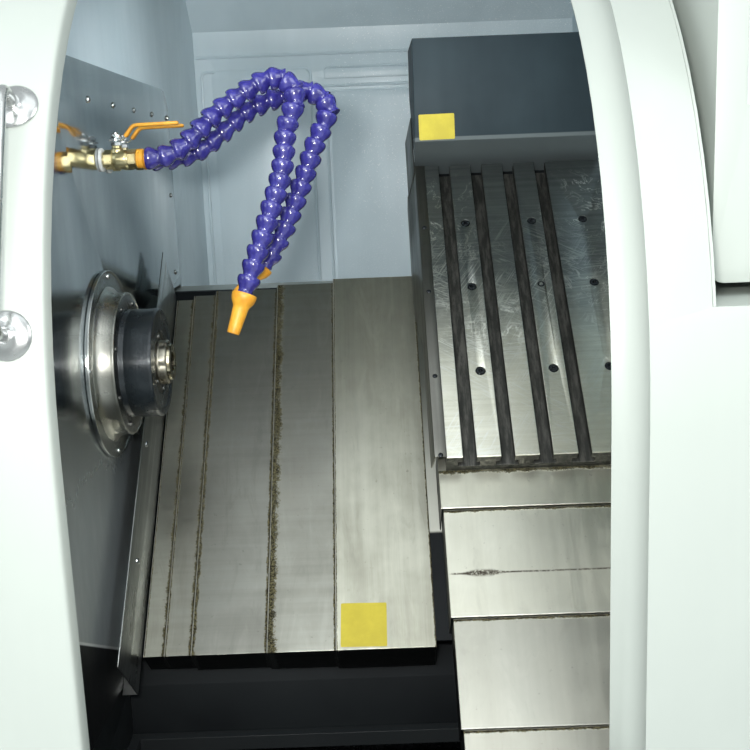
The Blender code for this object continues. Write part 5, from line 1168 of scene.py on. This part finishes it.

# %% [markdown]
# ## Cabin, bulkhead and hood
#
# The bulkhead is the cabin's left wall: one polished stainless sheet, held by domed screws. It has to be
# close to a mirror, because in the photograph it doubles the spindle and the valves. Just above a folded edge it
# has a painted highlight line, and below the fold it is painted black as painted shade. The cabin behind is folded
# and painted sheet with shallow pressed panels.

# %% Bulkhead, liner and hood skins
mirror = Finish("bulkhead_mirror", roughness=0.07)
film = mirror.noise(mirror.mapped((1, 1, 0.35)), 9.0, 5.0, 0.65).ease(0.36, 0.7)
fine = mirror.noise(mirror.mapped((400, 400, 6)), 1.0, 2.0)
x, y, z = mirror.axes(mirror.place)
FOLD_Z, FOLD_SLOPE, LINE_ABOVE = 0.4432, 0.5275, 0.002
# Below the fold the sheet is painted black, as painted shade; just above it runs a painted highlight line.
above_fold = (z - (FOLD_Z - y * FOLD_SLOPE)).ease(-0.0012, 0.0012)
fold_highlight_line = 1 - abs(z - (FOLD_Z + LINE_ABOVE - y * FOLD_SLOPE)).ease(0.001, 0.0026)
shade = mirror.blend(film, (0.33, 0.365, 0.375), (0.42, 0.455, 0.465))
shade = mirror.blend(fold_highlight_line * 0.8, shade, (0.8, 0.82, 0.8))
mirror.colour(mirror.blend(above_fold, (0.01, 0.011, 0.012), shade))
dulled = 1 - z.ease(0.86, 1.02)
mirror.feed(mirror.shader.inputs["Metallic"], 1 - 0.32 * dulled)
mirror.roughness(0.055 + 0.1 * (1 - film) + 0.04 * fine + 0.22 * dulled + 0.2 * (1 - above_fold))
mirror.bump(fine * 0.3 + fold_highlight_line, 0.06, 0.0008)
softened("bulkhead", 0.0004, mirror.material, sharp=20)
guard_steel = brushed("guard_steel", (0.42, 0.44, 0.43), (0.24, 0.255, 0.25), 0.16, (900, 3, 900), 0.2)
softened("way_guard", 0.0004, guard_steel.material)
softened("cabin_liner", 0.001, cabin_grey, sharp=22)
softened("slide_hood", 0.0009, hood_blue, sharp=24)
side_steel = brushed("side_guard_steel", (0.2, 0.2, 0.18), (0.1, 0.1, 0.09), 0.26, (900, 3, 900), 0.3)
softened("side_guard", 0.0004, side_steel.material)
# The headstock and the cross carriage are painted near black as painted shade.
for node in ("headstock", "x_carriage"):
    softened(node, 0.0012, casting_painted_shade)


def part_steel_casting(name, steel_where):
    """Near-black casting, as painted shade, with bare cover steel where the three slope coordinates say so."""
    casting = Finish(name, roughness=0.5)
    casting.shader.inputs["Specular IOR Level"].default_value = 0.15
    soil_and_painted_shade = casting.noise(casting.place, 3.0, 4.0, 0.6).ease(0.35, 0.68)
    hair = casting.noise(casting.mapped((900, 2.2, 900), **on_the_slope), 1.0, 3.0, 0.7)
    bare = steel_where(*casting.axes(casting.mapped(**on_the_slope)))
    sheet = casting.blend(hair * 0.5 + soil_and_painted_shade * 0.5, (0.26, 0.258, 0.225), (0.5, 0.495, 0.43))
    # Away from the bare steel the casting is painted near black: painted shade of the chute.
    casting.colour(casting.blend(bare, casting.blend(soil_and_painted_shade, (0.003, 0.004, 0.005), (0.008, 0.01, 0.011)), sheet))
    casting.feed(casting.shader.inputs["Metallic"], bare)
    casting.roughness(0.62 - 0.3 * bare + 0.08 * hair)
    casting.bump(hair, 0.1, 0.0005)
    return casting.material


softened("slant_bed", 0.0012, part_steel_casting(
    "bed_casting", lambda x, t, h: ((1 - x.ease(-0.2236, -0.223)) * h.ease(-0.16, -0.15)).most(t.ease(0.46, 0.465))))
softened("saddle", 0.0012, part_steel_casting(
    "saddle_casting", lambda x, t, h: h.ease(-0.125, -0.1235) * x.ease(0.1545, 0.155) * t.ease(-0.05, -0.045)))
for node in ("z_motor", "x_motor"):
    softened(node, 0.0012, blackened)
for node in ("z_ballscrew", "x_ballscrew"):
    softened(node, 0.0003, turned_steel)

# %% Screws of the bulkhead
ROW_START, ROW_PITCH, ROW_Z = -0.385, 0.128 * 0.998, 1.381
GUARD_X = -0.2265
row = [(Vector((BULKHEAD_X, ROW_START + ROW_PITCH * k, ROW_Z)), TO_RIGHT) for k in range(5)]
low = [(Vector((BULKHEAD_X, y, z)), TO_RIGHT) for y, z in ((0.107, 1.251), (0.096, 1.12))]
screws("bulkhead_screws", row + low, dome_head(0.0043, 0.0028), chrome, "machine", 17)
guard_row = [(Vector((GUARD_X, y, z)), TO_RIGHT) for y, z in ((-0.3176, 0.9227), (-0.4227, 0.7928))]
screws("way_guard_screws", guard_row, dome_head(0.0043, 0.0028), chrome, "machine", 19)

# %% [markdown]
# The cabin's back wall is stiffened by pressed beads: narrow ridges that the press tool leaves round each
# panel. A bead is a round bar laid half into the sheet along the panel's outline, so only its crown shows.

# %% Pressed beads of the back wall
WALL_Y = 0.466
BEAD_RADIUS = 0.0032
BEAD_BEND = 0.012


def bead(corners):
    """A bead through (x, z) corners on the back wall."""
    points = [Vector((x, WALL_Y, z)) for x, z in corners]
    line = [points[0]]
    for before, corner, after in zip(points, points[1:], points[2:]):
        line += bend(corner, (before - corner).normalized(), (after - corner).normalized(), BEAD_BEND, 5)
    return bar("bead", line + [points[-1]], BEAD_RADIUS, 10)


beads = [bead(corners) for corners in (
    [(-0.243, 1.512), (0.48, 1.512)],
    [(-0.236, 1.06), (-0.236, 1.4834), (-0.017, 1.4834), (-0.017, 1.06)],
    [(0.48, 1.4855), (0.012, 1.4855), (0.012, 1.4659), (0.48, 1.4659)],
    [(-0.01, 1.449), (0.48, 1.449)],
    [(0.48, 1.438), (0.012, 1.438), (0.012, 1.06)])]
piece("wall_beads", joined("wall_beads", beads), cabin_grey, "machine")

# %% [markdown]
# ## Safety patches
#
# Two plain yellow patches are glued to the machine. Each is a thin sheet of vinyl with rounded corners, a
# little lifted by its own thickness, and slightly faded.

# %% Plain yellow patches
vinyl = Finish("yellow_vinyl", roughness=0.34, coat_weight=0.0)
fade = vinyl.noise(vinyl.place, 30.0, 4.0, 0.6)
vinyl.colour(vinyl.blend(fade.ease(0.35, 0.7), (0.44, 0.36, 0.016), (0.52, 0.43, 0.026)))
vinyl.roughness(0.48 + 0.14 * fade)
vinyl.bump(vinyl.noise(vinyl.place, 500.0, 2.0), 0.05, 0.0003)


PATCH_CORNER, VINYL_THICK = 0.0018, 0.0004


def patch(name, place, width, height, body):
    """A thin rectangle with round corners, lying on its frame's own XY plane."""
    radius = PATCH_CORNER
    outline = []
    for cx, cy, start in ((width / 2, height / 2, 0), (-width / 2, height / 2, 90), (-width / 2, -height / 2, 180),
                          (width / 2, -height / 2, 270)):
        inner = (cx - math.copysign(radius, cx), cy - math.copysign(radius, cy))
        angles = [math.radians(start + a) for a in (0, 30, 60, 90)]
        outline += [(inner[0] + radius * math.cos(a), inner[1] + radius * math.sin(a)) for a in angles]
    piece(name, prism(name, outline, 0.0, VINYL_THICK, place), vinyl.material, body)


# %% Where the patches lie
def hit(node, start, direction):
    """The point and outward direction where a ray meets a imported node."""
    shape = bmesh.new()
    shape.from_mesh(frame["nodes"][node].data)
    found = BVHTree.FromBMesh(shape).ray_cast(Vector(start), Vector(direction).normalized())
    shape.free()
    return found[0], found[1]


def lying_on(node, start, direction, turn):
    """A frame on a node's surface, with X along the machine and Z outwards."""
    place, outward = hit(node, start, direction)
    if outward.dot(Vector(direction)) > 0:
        outward = -outward
    side = Vector((1, 0, 0))
    up = outward.cross(side).normalized()
    axes = Matrix((side, up, outward)).transposed().to_4x4()
    return Matrix.Translation(place) @ axes @ Matrix.Rotation(math.radians(turn), 4, "Z")


slope_out = SLOPE.to_3x3() @ Vector((0, 0, 1))
cover_spot = lying_on("z_cover_saddle", on_slope(0.067, -0.176, 0) + slope_out * 0.1, -slope_out, -1.0)
patch("cover_patch", cover_spot, 0.06, 0.059, "saddle")
hood_spot = lying_on("slide_hood", (0.2014, -0.3, 1.3425), (0, 1, 0), 0.6)
patch("hood_patch", hood_spot, 0.0545, 0.0385, "slide")

# %% [markdown]
# ## Door and its bow handle
#
# The door hangs in front of the cover and carries a bow handle: a bent tube on two round rosettes. The tube is
# swept along its centre line and the rosettes are turned about the direction in which the door faces at
# that height.

# %% Bow handle
BEND_HEIGHT = 1.03
HANDLE_X = -0.2415


def door_face(z):
    """Where the door's outer face is at a height, and which way it faces."""
    place, outward = hit("door_panel", (HANDLE_X, -1.2, z), (0, 1, 0))
    return place, (outward if outward.y < 0 else -outward)


BOW_LOW, BOW_HIGH, BOW_OUT, BOW_BEND, BOW_RADIUS = 0.117, 0.326, 0.039, 0.022, 0.00625
low_foot, low_out = door_face(BEND_HEIGHT + BOW_LOW)
high_foot, high_out = door_face(BEND_HEIGHT + BOW_HIGH)
low_top, high_top = low_foot + low_out * BOW_OUT, high_foot + high_out * BOW_OUT
run = (high_top - low_top).normalized()
bow = [low_foot + low_out * 0.004, low_foot + low_out * 0.012]
for corner, start, end in ((low_top, -low_out, run), (high_top, -run, -high_out)):
    bow += bend(corner, start, end, BOW_BEND, 10)
bow += [high_foot + high_out * 0.012, high_foot + high_out * 0.004]
bow_tube = bar("bow_tube", bow, BOW_RADIUS, 28)
ROSETTE = [(0, 0.0008), (0.0232, 0.0008), (0.0235, 0.0016), (0.0228, 0.0026), (0.0205, 0.0042), (0.015, 0.0058),
           (0.0105, 0.0066), (0.009, 0.008), (0.0078, 0.009), (0, 0.009)]
plates = [turned("rosette", ROSETTE, facing(foot, out), 72)
          for foot, out in ((low_foot, low_out), (high_foot, high_out))]
piece("bow_handle", joined("bow_handle", [bow_tube] + plates), satin_chrome, "door", ("door_handle",), 35)
print("handle from", [round(v, 3) for v in low_foot], "to", [round(v, 3) for v in high_foot])

# %% Covers, door, frame and control
for node in ("left_cover", "right_cover", "roof_cover", "rear_cover", "door_panel", "control_recess",
             "electrical_cabinet", "cabinet_door", "control_box"):
    softened(node, 0.0014, powder_white, sharp=22)
softened("front_cover", 0.0014, powder_white, sharp=22, flat_deg=0)
softened("base_frame", 0.0008, casting_grey, sharp=24, flat_deg=0)
for node, finish in (("chip_drawer", blackened), ("control_screen", screen_glass),
                     ("cabinet_latch", rubber), ("emergency_stop", red), ("start_button", green), ("stop_button", red),
                     ("override_knob", rubber)):
    softened(node, 0.0008, finish, sharp=24)

# %% Floor
FLOOR_HALF = 9
floor_mesh = bpy.data.meshes.new("floor")
floor_mesh.from_pydata([(x * FLOOR_HALF, y * FLOOR_HALF, 0) for x, y in ((-1, -1), (1, -1), (1, 1), (-1, 1))], [],
                       [(0, 1, 2, 3)])
floor_mesh.materials.append(painted("floor_screed", (0.62, 0.63, 0.62), (0.56, 0.57, 0.56), 0.5, 0.02))
added("floor", floor_mesh)
